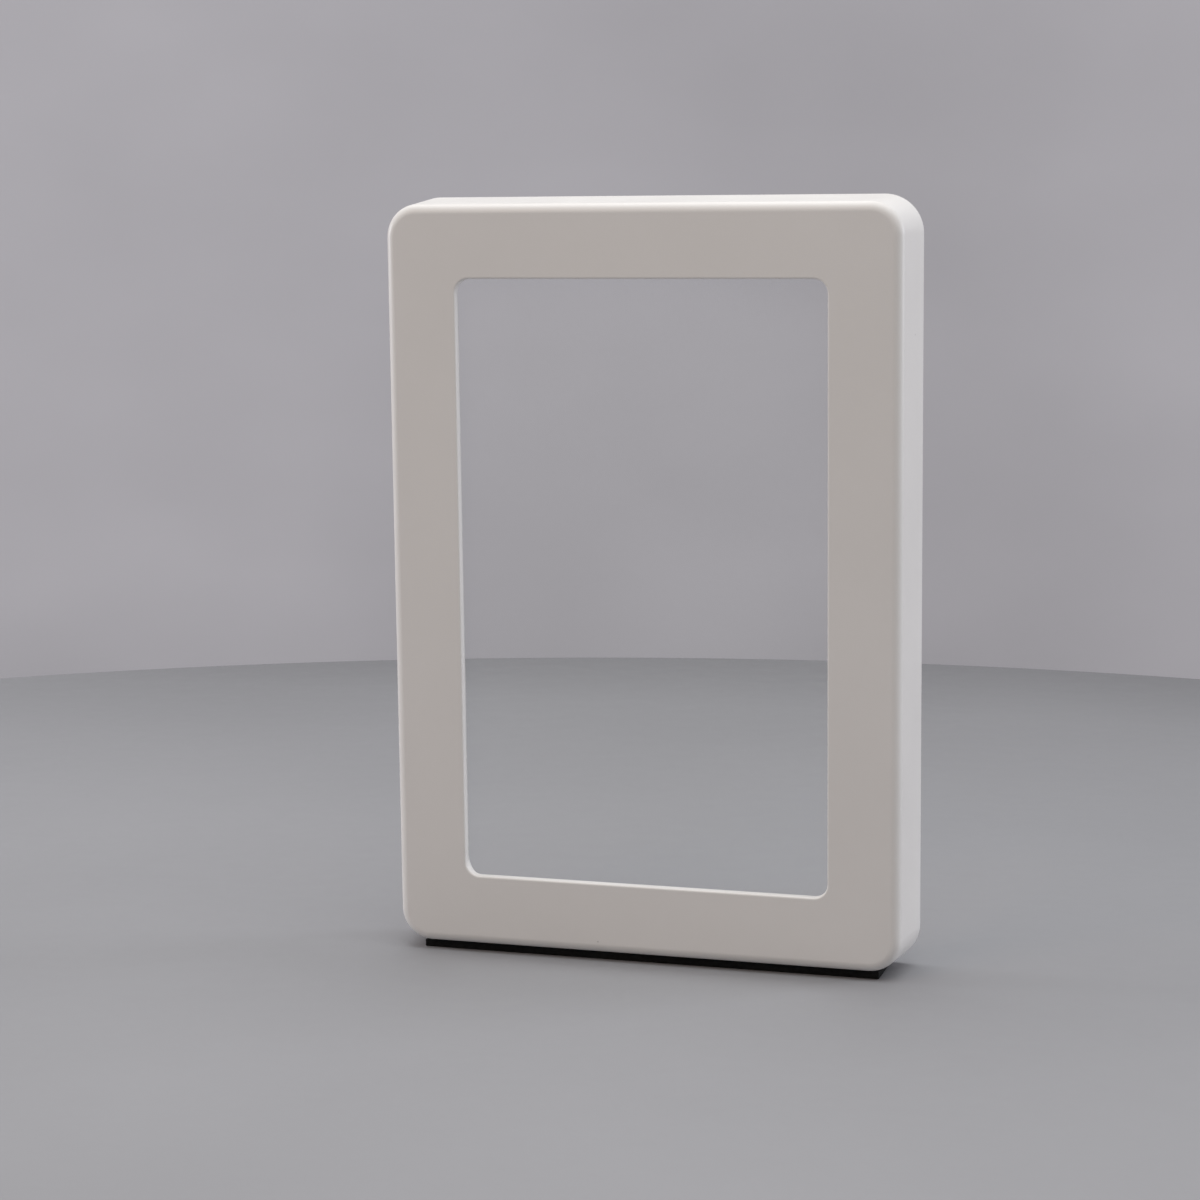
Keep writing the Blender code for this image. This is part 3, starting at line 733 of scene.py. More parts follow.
def make_rear_cover():
    """The ring that closes the back: plate, skirt round the opening, and the stand's channel."""
    reach = DRAFT * COVER[0] / DEPTH - WALL - COVER_FIT
    opening = around_window(REAR_R - REAR_MARGIN)
    sections = [(COVER[0], FACE, reach)]
    sections += [(COVER[1] - COVER_EDGE * (1 - s), FACE, reach - COVER_EDGE * (1 - c))
                 for s, c in quarter(4)]
    sections += [(COVER[1] - REAR_EDGE * (1 - c), opening, REAR_MARGIN + REAR_EDGE * (1 - s))
                 for s, c in quarter(6)]
    sections += [(SKIRT_START, opening, REAR_MARGIN),
                 (SKIRT_START, opening, REAR_MARGIN + SKIRT_W),
                 (COVER[0], opening, REAR_MARGIN + SKIRT_W)]
    cover = loft("rear_cover_detailed", sections, "cover", closed=True)

    path = stand_path()[BEND_STEPS + 1:-(BEND_STEPS + 1)]
    shell = (GROOVE_FLOOR - CHANNEL_WALL, COVER[0] + 0.5)
    hollows = []
    for side, sign in SIDES:
        hinge = sorted((sign * (PIVOT_END - PIVOT_OVERLAP), sign * (BAIL_X + GROOVE_HALF)))
        hollows.append((hinge, HINGE_POCKET))
        pad_x = middle(f"{side}_stand_pad")[0]
        hollows.append(((pad_x - PAD_HALF - POCKET_FIT, pad_x + PAD_HALF + POCKET_FIT),
                        (BAIL_LOW - PAD_R - GAP, BAIL_LOW + PAD_R + GAP)))
    wall, corner, lip = 0.7, 0.6, 0.35
    join(cover, prism("channel", band(path, GROOVE_HALF + GROOVE_WALL), shell))
    join(cover, merge("walls", [
        prism("wall", lambda growth, h=h: box_outline(*h, corner)(growth + wall), shell)
        for h in hollows]))
    cut(cover, cutter(band(path, GROOVE_HALF), GROOVE_FLOOR, COVER[1], lip, floor_round=0.9))
    cut(cover, merge("pockets", [cutter(box_outline(*h, corner), GROOVE_FLOOR, COVER[1], lip, 0.5)
                                 for h in hollows]))
    cut(cover, cutter(box_outline(*NOTCH, 2.0, 8), COVER[0] + 0.6, COVER[1], 0.6, floor_round=0.8))
    make_cover_openings(cover)
    stand_in(settle(cover), "rear_cover")


def make_cover_openings(cover):
    """Key holes, sound slots, vents, and the seats and bores of the screws."""
    through = COVER[0] - 1
    holes = [cutter(circle(middle(f"{name}_key"), KEY_HOLE_R, 40), through, COVER[1], 0.45)
             for name in KEY_NAMES]
    slots = []
    for side, _ in SIDES:
        x, z = middle(f"{side}_speaker")
        slots += [(SOUND_HALF, (x + SOUND_PITCH * (i - SOUND_SLOTS // 2), z))
                  for i in range(SOUND_SLOTS)]
    slots += [(VENT_HALF, (VENT_X, VENT_LOW + VENT_PITCH * i)) for i in range(VENTS)]
    for half, place in slots:
        slot = rounded(*half, min(half) - 0.01, place, 6)
        holes.append(cutter(slot, through, COVER[1], 0.25, steps=3))
    seat_depth, seat_r, bore_r, hinge_bore_r = 0.9, 2.4, 1.4, 0.95
    holes += [cutter(circle(p, seat_r), COVER[1] - seat_depth, COVER[1], 0.2, steps=3)
              for p in places(COVER_SCREWS)]
    cut(cover, merge("holes", holes))
    shafts = [prism("bore", circle(p, bore_r, 20), (through, DEPTH)) for p in places(COVER_SCREWS)]
    shafts += [prism("bore", circle(middle(f"{side}_hinge_screw"), hinge_bore_r, 16), (0, DEPTH))
               for side, _ in SIDES]
    cut(cover, merge("bores", shafts))


# ---- window stack

def make_display():
    """Foam gasket, clear display with its printed mask, and the retainer that holds them."""
    edge, low, high = 0.2, 1.0, PANEL_MARGIN - GAP
    inner = around_window(WINDOW_R - low)
    outer = around_window(2.0 - PANEL_MARGIN + GAP)
    gasket = loft("panel_gasket_detailed", [
        (GASKET[0] + edge, inner, low), (GASKET[0], inner, low + edge),
        (GASKET[0], outer, high - edge), (GASKET[0] + edge, outer, high),
        (GASKET[1] - edge, outer, high), (GASKET[1], outer, high - edge),
        (GASKET[1], inner, low + edge), (GASKET[1] - edge, inner, low)], "gasket", closed=True)
    stand_in(gasket, "panel_gasket")

    ground = 0.25
    glass = around_window(1.0 - PANEL_MARGIN)
    clear = around_window(0.5)
    display = loft("display_panel_detailed", [
        (PANEL[0], clear, MASK_MARGIN), (PANEL[0], glass, PANEL_MARGIN - ground),
        (PANEL[0] + ground, glass, PANEL_MARGIN), (PANEL[1] - ground, glass, PANEL_MARGIN),
        (PANEL[1], glass, PANEL_MARGIN - ground), (PANEL[1], clear, MASK_MARGIN)], "glass")
    display.data.materials.append(LOOKS["mask"][0])
    for face in display.data.polygons:
        face.material_index = 0 if len(face.vertices) > 4 else 1
    stand_in(display, "display_panel")

    make_retainer()
    # The film's middle line as (depth, z), from the display's edge down to its connector
    section = [(5.3, 17.6), (5.3, 15.8), (5.7, 14.8), (6.6, 14.3), (11.0, 14.3), (11.9, 13.9),
               (12.3, 13.0), (12.3, 10.4)]
    film = band(smooth(section), 0.1)
    flex = loft("panel_flex_film", [(x, film, 0) for x in extent("panel_flex")[0]], "flex",
                axis=along_x)
    stand_in(settle(flex, 50.0), "panel_flex")
    stand_in(brick("panel_driver_chip_die", *extent("panel_driver_chip"), "chip", 0.08),
             "panel_driver_chip")


def make_retainer():
    """The rolled aluminium frame behind the display, with a pressed bead and four screw lugs."""
    edge, bead, bead_from, bead_to = 0.2, 0.45, 1.1, 1.6
    low, high = RETAINER_MARGIN, RETAINER_REACH
    inner, outer = around_window(WINDOW_R - low), around_window(4.0 - high)
    retainer = loft("panel_retainer_detailed", [
        (RETAINER[0] + edge, inner, low), (RETAINER[0], inner, low + edge),
        (RETAINER[0], outer, high - edge), (RETAINER[0] + edge, outer, high),
        (RETAINER[1] - edge, outer, high), (RETAINER[1], outer, high - edge),
        (RETAINER[1], outer, high - bead_from), (RETAINER[1] - bead, outer, high - bead_to),
        (RETAINER[1] - bead, inner, low + bead_to), (RETAINER[1], inner, low + bead_from),
        (RETAINER[1], inner, low + edge), (RETAINER[1] - edge, inner, low)],
        "retainer", closed=True)
    lugs, lug_root, lug_end, lug_half = [], 6.4, 2.6, 3
    for x, z in places(RETAINER_SCREWS):
        side = -1 if x < 0 else 1
        reach = sorted((side * (WINDOW_W / 2 + lug_root), x + side * lug_end))
        lugs.append(prism("lug", box_outline(reach, about(z, lug_half), 1.0, 5), RETAINER,
                          front=edge, rear=edge))
    join(retainer, merge("lugs", lugs))
    cut(retainer, merge("holes", bores(RETAINER_SCREWS, RETAINER, 20)))
    stand_in(settle(retainer), "panel_retainer")


# ---- fasteners

HEAD_HEIGHT = 1.2
SCREWS = {}


def screw_mesh(head_r, length):
    """A self-tapping pan-head screw with a cross recess, made once for each size."""
    key = (round(head_r, 2), round(length, 2))
    if key in SCREWS:
        return SCREWS[key]
    sides, pitch, core, crest, point_length = 24, 0.6, 0.55, 0.75, 1.2
    head = [(head_r * (0.55 + 0.45 * s), 0.5 + (HEAD_HEIGHT - 0.5) * c) for s, c in quarter(6)]
    head += [(head_r, 0.12), (head_r - 0.12, 0.0), (core + 0.1, 0.0)]
    bm = bmesh.new()
    loops = [ring(bm, [radius] * sides, height) for radius, height in head]
    rows = int(length / pitch * 6)
    for row in range(1, rows + 1):
        height = -length * row / rows
        taper = min(1.0, (length + height) / point_length + 0.25)
        phases = [(height / pitch + k / sides) % 1.0 for k in range(sides)]
        ridges = [max(0.0, 1 - abs(phase - 0.5) / 0.32) for phase in phases]
        radii = [(core + (crest - core) * ridge) * taper for ridge in ridges]
        loops.append(ring(bm, radii, height))
    skin(bm, loops)
    screw = finish_mesh(bm, "screw", "steel", 40.0)
    wide, narrow, deep = 0.5 * head_r, 0.2, 0.65
    for turn in (0, 90):
        bm = bmesh.new()
        skin(bm, [[bm.verts.new((su * wide * scale * MM, sv * narrow * scale * MM, height * MM))
                   for su, sv in ((1, 1), (-1, 1), (-1, -1), (1, -1))]
                  for height, scale in ((HEAD_HEIGHT - deep, 0.6), (HEAD_HEIGHT + 0.1, 1.05))])
        slot = finish_mesh(bm, "slot")
        slot.data.transform(Matrix.Rotation(radians(turn), 4, "Z"))
        cut(screw, slot)
    screw.data.shade_smooth()
    screw.data.set_sharp_from_angle(angle=radians(40))
    SCREWS[key] = screw.data
    bpy.data.objects.remove(screw)
    return SCREWS[key]


def make_screws():
    random.seed(4)
    nodes = COVER_SCREWS + RETAINER_SCREWS + BOARD_SCREWS + KEY_SCREWS
    for node in nodes + ["inlet_screw", "left_hinge_screw", "right_hinge_screw"]:
        x, depth, _ = extent(node)
        mesh = screw_mesh((x[1] - x[0]) / 2, depth[1] - depth[0] - HEAD_HEIGHT)
        screw = show_new(f"{node}_detailed", mesh)
        across, up = middle(node)
        turn = TO_REAR @ Matrix.Rotation(random.uniform(0, pi / 2), 4, "Z")
        screw.matrix_world = Matrix.Translation(point(across, depth[1] - HEAD_HEIGHT, up)) @ turn
        stand_in(screw, node)


# ---- stand and foot

def make_stand():
    """The bent wire with its ribbed rubber pads, and the two blocks that hold its pivots."""
    path = [point(p.x, BAIL_DEPTH, p.y) for p in stand_path()]
    stand_in(bar("wire_stand_detailed", path, BAIL_R, "wire_steel"), "wire_stand")
    ribs, rib_h, plain_end, edge = 9, 0.22, 1.2, 0.4
    inner = BAIL_R + 0.05
    profile = [(inner, -PAD_HALF), (PAD_R - edge, -PAD_HALF), (PAD_R, -PAD_HALF + edge)]
    span = 2 * (PAD_HALF - plain_end)
    width = span / ribs
    for i in range(ribs):
        start = -PAD_HALF + plain_end + span * i / ribs
        profile += [(PAD_R, start), (PAD_R - rib_h, start + 0.2 * width),
                    (PAD_R - rib_h, start + 0.45 * width), (PAD_R, start + 0.65 * width)]
    profile += [(PAD_R, PAD_HALF - edge), (PAD_R - edge, PAD_HALF), (inner, PAD_HALF)]
    for side, _ in SIDES:
        pad = turned(f"{side}_stand_pad_ribbed", profile, "rubber", 36, closed=True, crease=30.0)
        set_down(pad, point(middle(f"{side}_stand_pad")[0], BAIL_DEPTH, BAIL_LOW), TO_RIGHT)
        stand_in(pad, f"{side}_stand_pad")

        node = f"{side}_hinge_block"
        x, depth, z = extent(node)
        block = brick(f"{node}_detailed", x, depth, z, "cover", 0.45, 4)
        bore = turned("bore", [(BAIL_R + GAP, -5), (BAIL_R + GAP, 5)], sides=32)
        cut(block, set_down(bore, point(sum(x) / 2, BAIL_DEPTH, HINGE_Z), TO_RIGHT))
        place = middle(f"{side}_hinge_screw")
        seat_r, seat_depth, hole_r = 1.8, 1.3, 1.05
        cut(block, cutter(circle(place, seat_r), depth[1] - seat_depth, depth[1], 0.15))
        cut(block, prism("hole", circle(place, hole_r, 18), (0, DEPTH + 2)))
        stand_in(settle(block), node)


def make_foot():
    """The black rubber strip under the bottom wall: wedged to the wall's draft and grooved below.
    It is partly a real foot and partly a painted shadow for the dark gap under the frame.
    """
    x, depth, _ = extent("foot_strip")
    slope = DRAFT / DEPTH
    top = BODY_Z[0] + DRAFT - GAP
    groove, groove_w, grooves, edge = 0.22, 0.5, 8, 0.3
    outline = [(depth[0], edge), (depth[0] + edge, 0)]
    pitch = (depth[1] - depth[0]) / (grooves + 1)
    for i in range(1, grooves + 1):
        place = depth[0] + pitch * i
        outline += [(place - groove_w / 2, 0), (place - groove_w / 4, groove),
                    (place + groove_w / 4, groove), (place + groove_w / 2, 0)]
    outline += [(depth[1] - edge, 0), (depth[1], edge)]
    outline += [(depth[1], top - slope * depth[1]), (depth[0], top - slope * depth[0])]
    centre = (sum(depth) / 2, 0.5)

    def shrunk(growth):
        scale = (1 + 2 * growth / (depth[1] - depth[0]), 1 + growth)
        return [(centre[0] + (u - centre[0]) * scale[0], centre[1] + (v - centre[1]) * scale[1])
                for u, v in outline]

    # The strip's black is partly painted shadow: it fills the dark gap under the bottom edge.
    foot = prism("foot_strip_grooved", shrunk, x, "rubber", front=0.3, rear=0.3, axis=along_x)
    stand_in(settle(foot), "foot_strip")


# ---- keys

def key_mark(name, centre, depths):
    """A small raised mark on a key: ring and bar, bars, triangles and a dot."""
    u, v = centre
    if name == "power":
        hoop = turned("mark", [(0.95, 0), (1.2, 0), (1.2, 1), (0.95, 1)], "key", 32, closed=True)
        hoop.data.transform(Matrix.Diagonal((1, 1, depths[1] - depths[0], 1)))
        set_down(hoop, point(u, depths[0], v), TO_REAR)
        return [hoop, brick("mark", about(u, 0.13), depths, (v + 0.2, v + 1.5), "key", 0.04)]
    if name == "menu":
        return [brick("mark", about(u, 1.1), depths, about(v + s, 0.14), "key", 0.04)
                for s in (-0.7, 0, 0.7)]
    if name == "enter":
        return [prism("mark", circle(centre, 0.6), depths, "key", rear=0.05)]
    up = 1 if name == "next" else -1
    return [prism("mark", lambda growth: [(u - 1.1, v - 0.7 * up), (u + 1.1, v - 0.7 * up),
                                          (u, v + 1.1 * up)], depths, "key")]


def make_keys():
    """Five dished caps with raised marks, each over its switch."""
    top, dish, cap_r, flange_r, edge = 2.6, 0.24, 3.3, 4.0, 0.5
    profile = [(2.5 * t, top - dish * (1 - t * t)) for t in (0.15, 0.4, 0.6, 0.8, 0.92, 1.0)]
    profile += [(cap_r - edge * (1 - s), top - edge * (1 - c)) for s, c in quarter(5)]
    profile += [(cap_r, 0.0), (flange_r - 0.1, 0.0), (flange_r, -0.1), (flange_r, -0.8),
                (flange_r - 0.1, -0.9), (1.6, -0.9), (1.6, -1.6), (1.5, -1.7)]
    for name in KEY_NAMES:
        node = f"{name}_key"
        centre, back = middle(node), extent(node)[1][1]
        cap = turned("cap", profile, "key", sides=48)
        set_down(cap, point(centre[0], back - top, centre[1]), TO_REAR)
        key = merge(f"{name}_key_cap", [cap] + key_mark(name, centre, (back - 0.35, back - 0.08)))
        stand_in(settle(key, 30.0), node)
        make_switch(f"{name}_switch")


def make_switch(node):
    """A tactile switch: black base, steel top plate with four rivets, plunger and legs."""
    x, depth, z = extent(node)
    centre = middle(node)
    base_top, plate = depth[0] + 2.8, 0.2
    plunger_r, rivet_r, rivet_at, leg_starts, leg_w = 1.6, 0.4, 2.2, (0.6, 4.7), 0.7
    base = brick("base", x, (depth[0], base_top), z, "chip", 0.25)
    lid = prism("lid", box_outline(inset(x, 0.1), inset(z, 0.1), 0.5),
                (base_top - 0.1, base_top + plate), "steel", rear=0.08)
    plunger = prism("plunger", circle(centre, plunger_r, 32), (base_top, depth[1]), "chip",
                    rear=0.25)
    rivets = [prism("rivet", circle((across, up), rivet_r, 16),
                    (base_top, base_top + plate + 0.12), "chip", rear=0.1)
              for across in about(centre[0], rivet_at) for up in about(centre[1], rivet_at)]
    legs = bricks("legs", [((x[0] + u, x[0] + u + leg_w), (depth[0] - 0.05, depth[0] + 0.12),
                            about(end, 0.25)) for u in leg_starts for end in z], "tin", 0.04)
    assemble(node, [base, lid, plunger, legs] + rivets)


# ---- electronics

def bored_board(node, screws, parts=()):
    """A circuit board with plated screw holes and the small parts soldered to it."""
    x, depth, z = extent(node)
    board = prism(f"{node}_detailed", box_outline(x, z, 0.8, 5), depth, "board", front=0.08,
                  rear=0.08, steps=1)
    cut(board, merge("holes", bores(screws, depth, 24)))
    plating = [(1.2, -0.02), (1.95, -0.02), (1.95, 0.04), (1.2, 0.04)]
    pads = [set_down(turned("pad", plating, "gold", closed=True), point(across, depth[1], up),
                     TO_REAR) for across, up in places(screws)]
    assemble(node, [settle(board)] + pads + list(parts))


def chip_resistors(x, depth, z, count, taken):
    """Small two-ended parts strewn over a board's free stretches."""
    bodies, ends = [], []
    for i in range(count):
        u = x[0] + (x[1] - x[0]) * (i + random.uniform(0.3, 0.7)) / count
        v = random.uniform(z[0] + 1, z[1] - 1)
        if any(low - 1.0 < u < high + 1.0 for low, high in taken):
            continue
        bodies.append((about(u, 0.5), (depth, depth + 0.45), about(v, 0.4)))
        for sign in (-1, 1):
            span = sorted((u + sign * 0.46, u + sign * 0.82))
            ends.append((span, (depth - 0.02, depth + 0.42), about(v, 0.42)))
    return [bricks("bodies", bodies, "ceramic", 0.04, 1), bricks("ends", ends, "tin", 0.06, 1)]


def leaded_chip(node, sides):
    """A moulded chip with gull-wing leads along two or four sides and a dot at its first lead."""
    x, depth, z = extent(node)
    reach, foot, lead, pitch, thick = 0.9, 0.45, 0.24, 0.5, 0.12
    body_x, body_z = inset(x, reach), inset(z, reach)
    if sides == 2:
        body_z = z
    mid = sum(depth) / 2
    leads = []
    for (low, high), (start, end), turned_round in ((x, body_z, False), (z, body_x, True)):
        if turned_round and sides == 2:
            continue
        count = int((end - start - 0.6) / pitch)
        for i in range(count):
            v = (start + end) / 2 + (i - (count - 1) / 2) * pitch
            for tip, knee, root in ((low, low + foot, low + reach + 0.1),
                                    (high, high - foot, high - reach - 0.1)):
                for span, level in ((sorted((tip, knee)), (depth[0], depth[0] + thick)),
                                    (sorted((knee, root)), about(mid, thick / 2)),
                                    ((knee, knee + thick), (depth[0], mid + thick / 2))):
                    across, up = tuple(span), about(v, lead / 2)
                    leads.append((up, level, across) if turned_round else (across, level, up))
    body = brick("body", body_x, (depth[0] + 0.1, depth[1]), body_z, "chip", 0.12)
    dot = prism("dot", circle((body_x[0] + 0.8, body_z[1] - 0.8), 0.3, 20),
                (depth[1] - 0.05, depth[1] + 0.01), "connector")
    assemble(node, [body, bricks("leads", leads, "tin"), dot])


def make_plug(node, pins):
    """An ivory wire-to-board plug: ribbed housing with its contacts in a row."""
    x, depth, z = extent(node)
    housing = brick("housing", x, depth, z, "connector", 0.25)
    end_wall, window_half, contact_half = 0.6, 0.3, 0.2
    pitch = (z[1] - z[0] - 2 * end_wall) / pins
    windows, contacts = [], []
    for i in range(pins):
        v = z[0] + end_wall + pitch * (i + 0.5)
        windows.append((inset(x, 0.8), (depth[1] - 0.5, depth[1] + 1), about(v, window_half)))
        contacts.append((inset(x, 0.9), (depth[1] - 0.6, depth[1] - 0.3),
                         about(v, contact_half)))
    cut(housing, bricks("windows", windows))
    assemble(node, [settle(housing), bricks("contacts", contacts, "gold", 0.03)])


def make_main_board():
    _, depth, z = extent("main_board")
    random.seed(11)
    nodes = ["processor", "memory_chip", "wifi_module", "power_inductor", "flex_connector",
             "key_plug", "speaker_plug", "capacitor"] + BOARD_SCREWS
    taken = [extent(node)[0] for node in nodes]
    bored_board("main_board", BOARD_SCREWS, chip_resistors((-58, 58), depth[1], z, 46, taken))
    leaded_chip("processor", 4)
    leaded_chip("memory_chip", 2)
    make_plug("key_plug", 4)
    make_plug("speaker_plug", 4)
    make_wifi_module()
    make_inductor()
    make_flex_connector()
    make_capacitor()


def make_wifi_module():
    """A carrier board with plated edge pads under a tinned can."""
    x, depth, z = extent("wifi_module")
    carrier = brick("carrier", x, (depth[0], depth[0] + 0.5), z, "board", 0.05)
    can = prism("can", box_outline(inset(x, 0.5), inset(z, 0.4), 0.6),
                (depth[0] + 0.4, depth[1]), "shield", rear=0.25)
    pad_count, sides = 11, ((z[0] - 0.03, z[0] + 0.3), (z[1] - 0.3, z[1] + 0.03))
    pads = bricks("pads", [((x[0] + 1.2 + i, x[0] + 1.8 + i), (depth[0], depth[0] + 0.52), side)
                           for i in range(pad_count) for side in sides], "gold")
    assemble("wifi_module", [carrier, can, pads])


def make_inductor():
    """A drum core with a visible winding."""
    centre, (low, high) = middle("power_inductor"), extent("power_inductor")[1]
    height = high - low
    core = turned("core", [(2.9, 0), (2.98, 0.1), (2.98, 0.6), (2.2, 0.75), (2.2, height - 0.75),
                           (2.98, height - 0.6), (2.98, height - 0.1), (2.8, height)], "chip", 40)
    coil_profile = [(2.25, 0.75)]
    turns, span = 7, height - 1.6
    for i in range(turns):
        start, pitch = 0.8 + span * i / turns, span / turns
        coil_profile += [(2.5, start), (2.72, start + 0.5 * pitch)]
    coil_profile += [(2.5, height - 0.8), (2.25, height - 0.75)]
    coil = turned("coil", coil_profile, "copper", 40)
    for piece in (core, coil):
        set_down(piece, point(centre[0], low, centre[1]), TO_REAR)
    stand_in(merge("power_inductor_wound", [core, coil]), "power_inductor")


def make_flex_connector():
    """The film's socket: ivory housing, dark latch and a row of contacts."""
    x, depth, z = extent("flex_connector")
    housing = brick("housing", x, depth, (z[0], z[1] - 0.7), "connector", 0.12)
    latch = brick("latch", inset(x, 0.4), (depth[0] + 0.3, depth[1] - 0.1),
                  (z[1] - 0.65, z[1]), "chip", 0.12)
    pin_count = 32
    pins = bricks("pins", [((x[0] + 1.2 + i, x[0] + 1.5 + i), (depth[0], depth[0] + 0.15),
                            (z[0] - 0.4, z[0] + 0.3)) for i in range(pin_count)], "gold")
    assemble("flex_connector", [housing, latch, pins])


def make_capacitor():
    """A can with a crimped groove near its foot."""
    centre, (low, high) = middle("capacitor"), extent("capacitor")[1]
    can_r, height = 2.1, high - low
    can = turned("can", [(can_r - 0.15, 0.0), (can_r, 0.12), (can_r, 0.5), (can_r - 0.14, 0.62),
                         (can_r - 0.14, 0.72), (can_r, 0.85), (can_r, height - 0.35),
                         (can_r - 0.1, height - 0.12), (can_r - 0.3, height),
                         (can_r - 0.5, height), (can_r - 0.6, height - 0.08)], "shield", 36)
    stand_in(set_down(can, point(centre[0], low, centre[1]), TO_REAR), "capacitor")
    can.name = "capacitor_can"


def make_inlet():
    """The data and power socket on its small board in the left border."""
    bored_board("inlet_board", ["inlet_screw"])
    x, depth, z = extent("usb_socket")
    shell_wall, mouth = 0.32, x[0]
    outline = box_outline(depth, z, 1.3, 8)
    shell = loft("shell", [
        (x[1], outline, -0.1), (x[1] - 0.1, outline, 0), (mouth + 0.12, outline, 0),
        (mouth, outline, -0.1), (mouth, outline, 0.1 - shell_wall),
        (mouth + 0.12, outline, -shell_wall), (mouth + 5.6, outline, -shell_wall)],
        "steel", axis=along_x)
    mid_depth, mid_z = sum(depth) / 2, sum(z) / 2
    tongue = brick("tongue", (mouth + 0.8, mouth + 6.3), about(mid_depth, 0.33),
                   about(mid_z, 3.3), "chip", 0.12)
    contacts, per_side, pitch = [], 12, 0.5
    for i in range(per_side):
        v = mid_z + pitch * (i - (per_side - 1) / 2)
        for side in (-1, 1):
            level = sorted((mid_depth + side * 0.28, mid_depth + side * 0.36))
            contacts.append(((mouth + 1.0, mouth + 4.2), tuple(level), about(v, 0.13)))
    tabs = bricks("tabs", [((x[1] - low - 0.9, x[1] - low), (depth[0] - 0.3, depth[0] + 0.5),
                            about(end, 0.15)) for low in (0.6, 4.0)
                           for end in inset(z, 0.1)], "steel", 0.04)
    assemble("usb_socket", [shell, tongue, bricks("contacts", contacts, "gold"), tabs])


def make_speaker(side):
    """A slim racetrack speaker: frame, rubber surround and domed cone facing the slots."""
    node = f"{side}_speaker"
    x, depth, z = extent(node)
    back = depth[1]
    seat = back - 0.8      # where the surround meets the basket
    outline = box_outline(x, z, 1.6, 8)
    basket = loft("frame", [(depth[0], outline, -0.4), (depth[0] + 0.4, outline, 0),
                            (back - 0.3, outline, 0), (back, outline, -0.3),
                            (back, outline, -0.7), (seat, outline, -0.9),
                            (seat, outline, -1.1)], "chip")
    roll = [(seat, outline, -0.85)]
    roll += [(seat + 0.45 * sin(pi * t / 6), outline, -0.95 - 0.16 * t) for t in range(7)]
    surround = loft("surround", roll, "rubber")
    cone = loft("cone", [(back - 1.0, outline, -1.75), (back - 0.75, outline, -1.85),
                         (back - 1.1, outline, -2.5), (back - 1.0, outline, -2.7),
                         (back - 0.7, outline, -3.2), (back - 0.6, outline, -3.8)], "connector")
    tabs = bricks("tabs", [((x[0] + u, x[0] + u + 1.0), (depth[0] + 1.2, depth[0] + 1.4),
                            (z[0] - 0.02, z[0] + 1.4)) for u in (4.0, 7.0)], "tin")
    assemble(node, [basket, surround, cone, tabs])


def make_aerial():
    """The film aerial: amber film with a copper meander on it."""
    x, depth, z = extent("wifi_aerial")
    film = brick("film", x, (depth[0], depth[1] - 0.1), z, "flex", 0.04, 1)
    rows, width, end_gap, layer = 12, 0.5, 1.5, (depth[1] - 0.12, depth[1])
    pitch = (z[1] - z[0] - 2 * end_gap) / rows
    left, right = inset(x, 0.9)
    runs = []
    for i in range(rows + 1):
        v = z[0] + end_gap + pitch * i
        runs.append(((left, right), layer, about(v, width / 2)))
        if i < rows:
            end = left if i % 2 else right - width
            runs.append(((end, end + width), layer, (v, v + pitch)))
    meander = bricks("meander", runs, "copper", 0.02)
    stand_in(merge("wifi_aerial_film", [film, meander]), "wifi_aerial")


def make_wiring():
    """Wires round the inside of the ring, as (x, depth, z) along each."""
    routes = {
        "key_cable": ([(-64.2, 13.8, 141.5), (-64.6, 13.6, 136.5), (-69.3, 12.8, 127),
                       (-69.3, 12.6, 90), (-64.6, 14.4, 60), (-63.2, 14.6, 46), (-66.5, 13.9, 36),
                       (-68.4, 12.8, 28), (-66.4, 12.4, 17), (-61.5, 13.6, 11.2),
                       (-57.2, 13.2, 9.8)], 1.6, "wire_grey"),
        "inlet_cable": ([(-64.0, 11.4, 41.6), (-63.0, 11.7, 38.0), (-67.4, 9.4, 30),
                         (-67.6, 9.2, 22), (-65.6, 11.0, 15.8), (-61.2, 11.9, 14.0),
                         (-57.2, 11.6, 12.4)], 1.2, "wire_red"),
        "left_speaker_cable": ([(-50.4, 15.6, 206.8), (-55, 15.0, 208.6), (-60.5, 12, 210.2),
                                (-68.0, 9.6, 208.6), (-70.4, 8.9, 202), (-70.4, 8.9, 150),
                                (-70.4, 8.2, 92), (-70.2, 7.6, 66), (-70.0, 7.5, 45),
                                (-69.8, 7.4, 24), (-67.2, 7.4, 13), (-61, 7.6, 7.4),
                                (-54, 7.6, 7.0), (-30, 7.4, 7.0), (0, 7.4, 7.0)], 1.0,
                               "wire_black"),
        "right_speaker_cable": ([(50.4, 15.6, 206.8), (55, 15.0, 208.6), (60.5, 12, 210.2),
                                 (68.0, 9.6, 208.6), (70.3, 8.9, 202), (70.3, 8.9, 150),
                                 (70.3, 8.9, 60), (70.0, 9.4, 24), (67.8, 11.4, 13.4),
                                 (62.4, 14.0, 8.6), (53.7, 12.6, 8.4)], 1.0, "wire_red"),
        "aerial_cable": ([(65.6, 14.5, 170), (66.6, 14.6, 163), (67.6, 13.0, 150),
                          (67.8, 12.4, 100), (67.8, 12.4, 40), (67.6, 12.6, 22),
                          (64.2, 13.9, 13.6), (56, 14.2, 12.2), (44, 15.0, 12.6),
                          (35, 13.6, 11.8)], 0.9, "wire_black"),
    }
    for node, (route, diameter, look) in routes.items():
        path = [point(*p) for p in smooth(route)]
        stand_in(bar(f"{node}_jacket", path, diameter / 2, look, sides=14), node)


# ---- stage, lights and camera

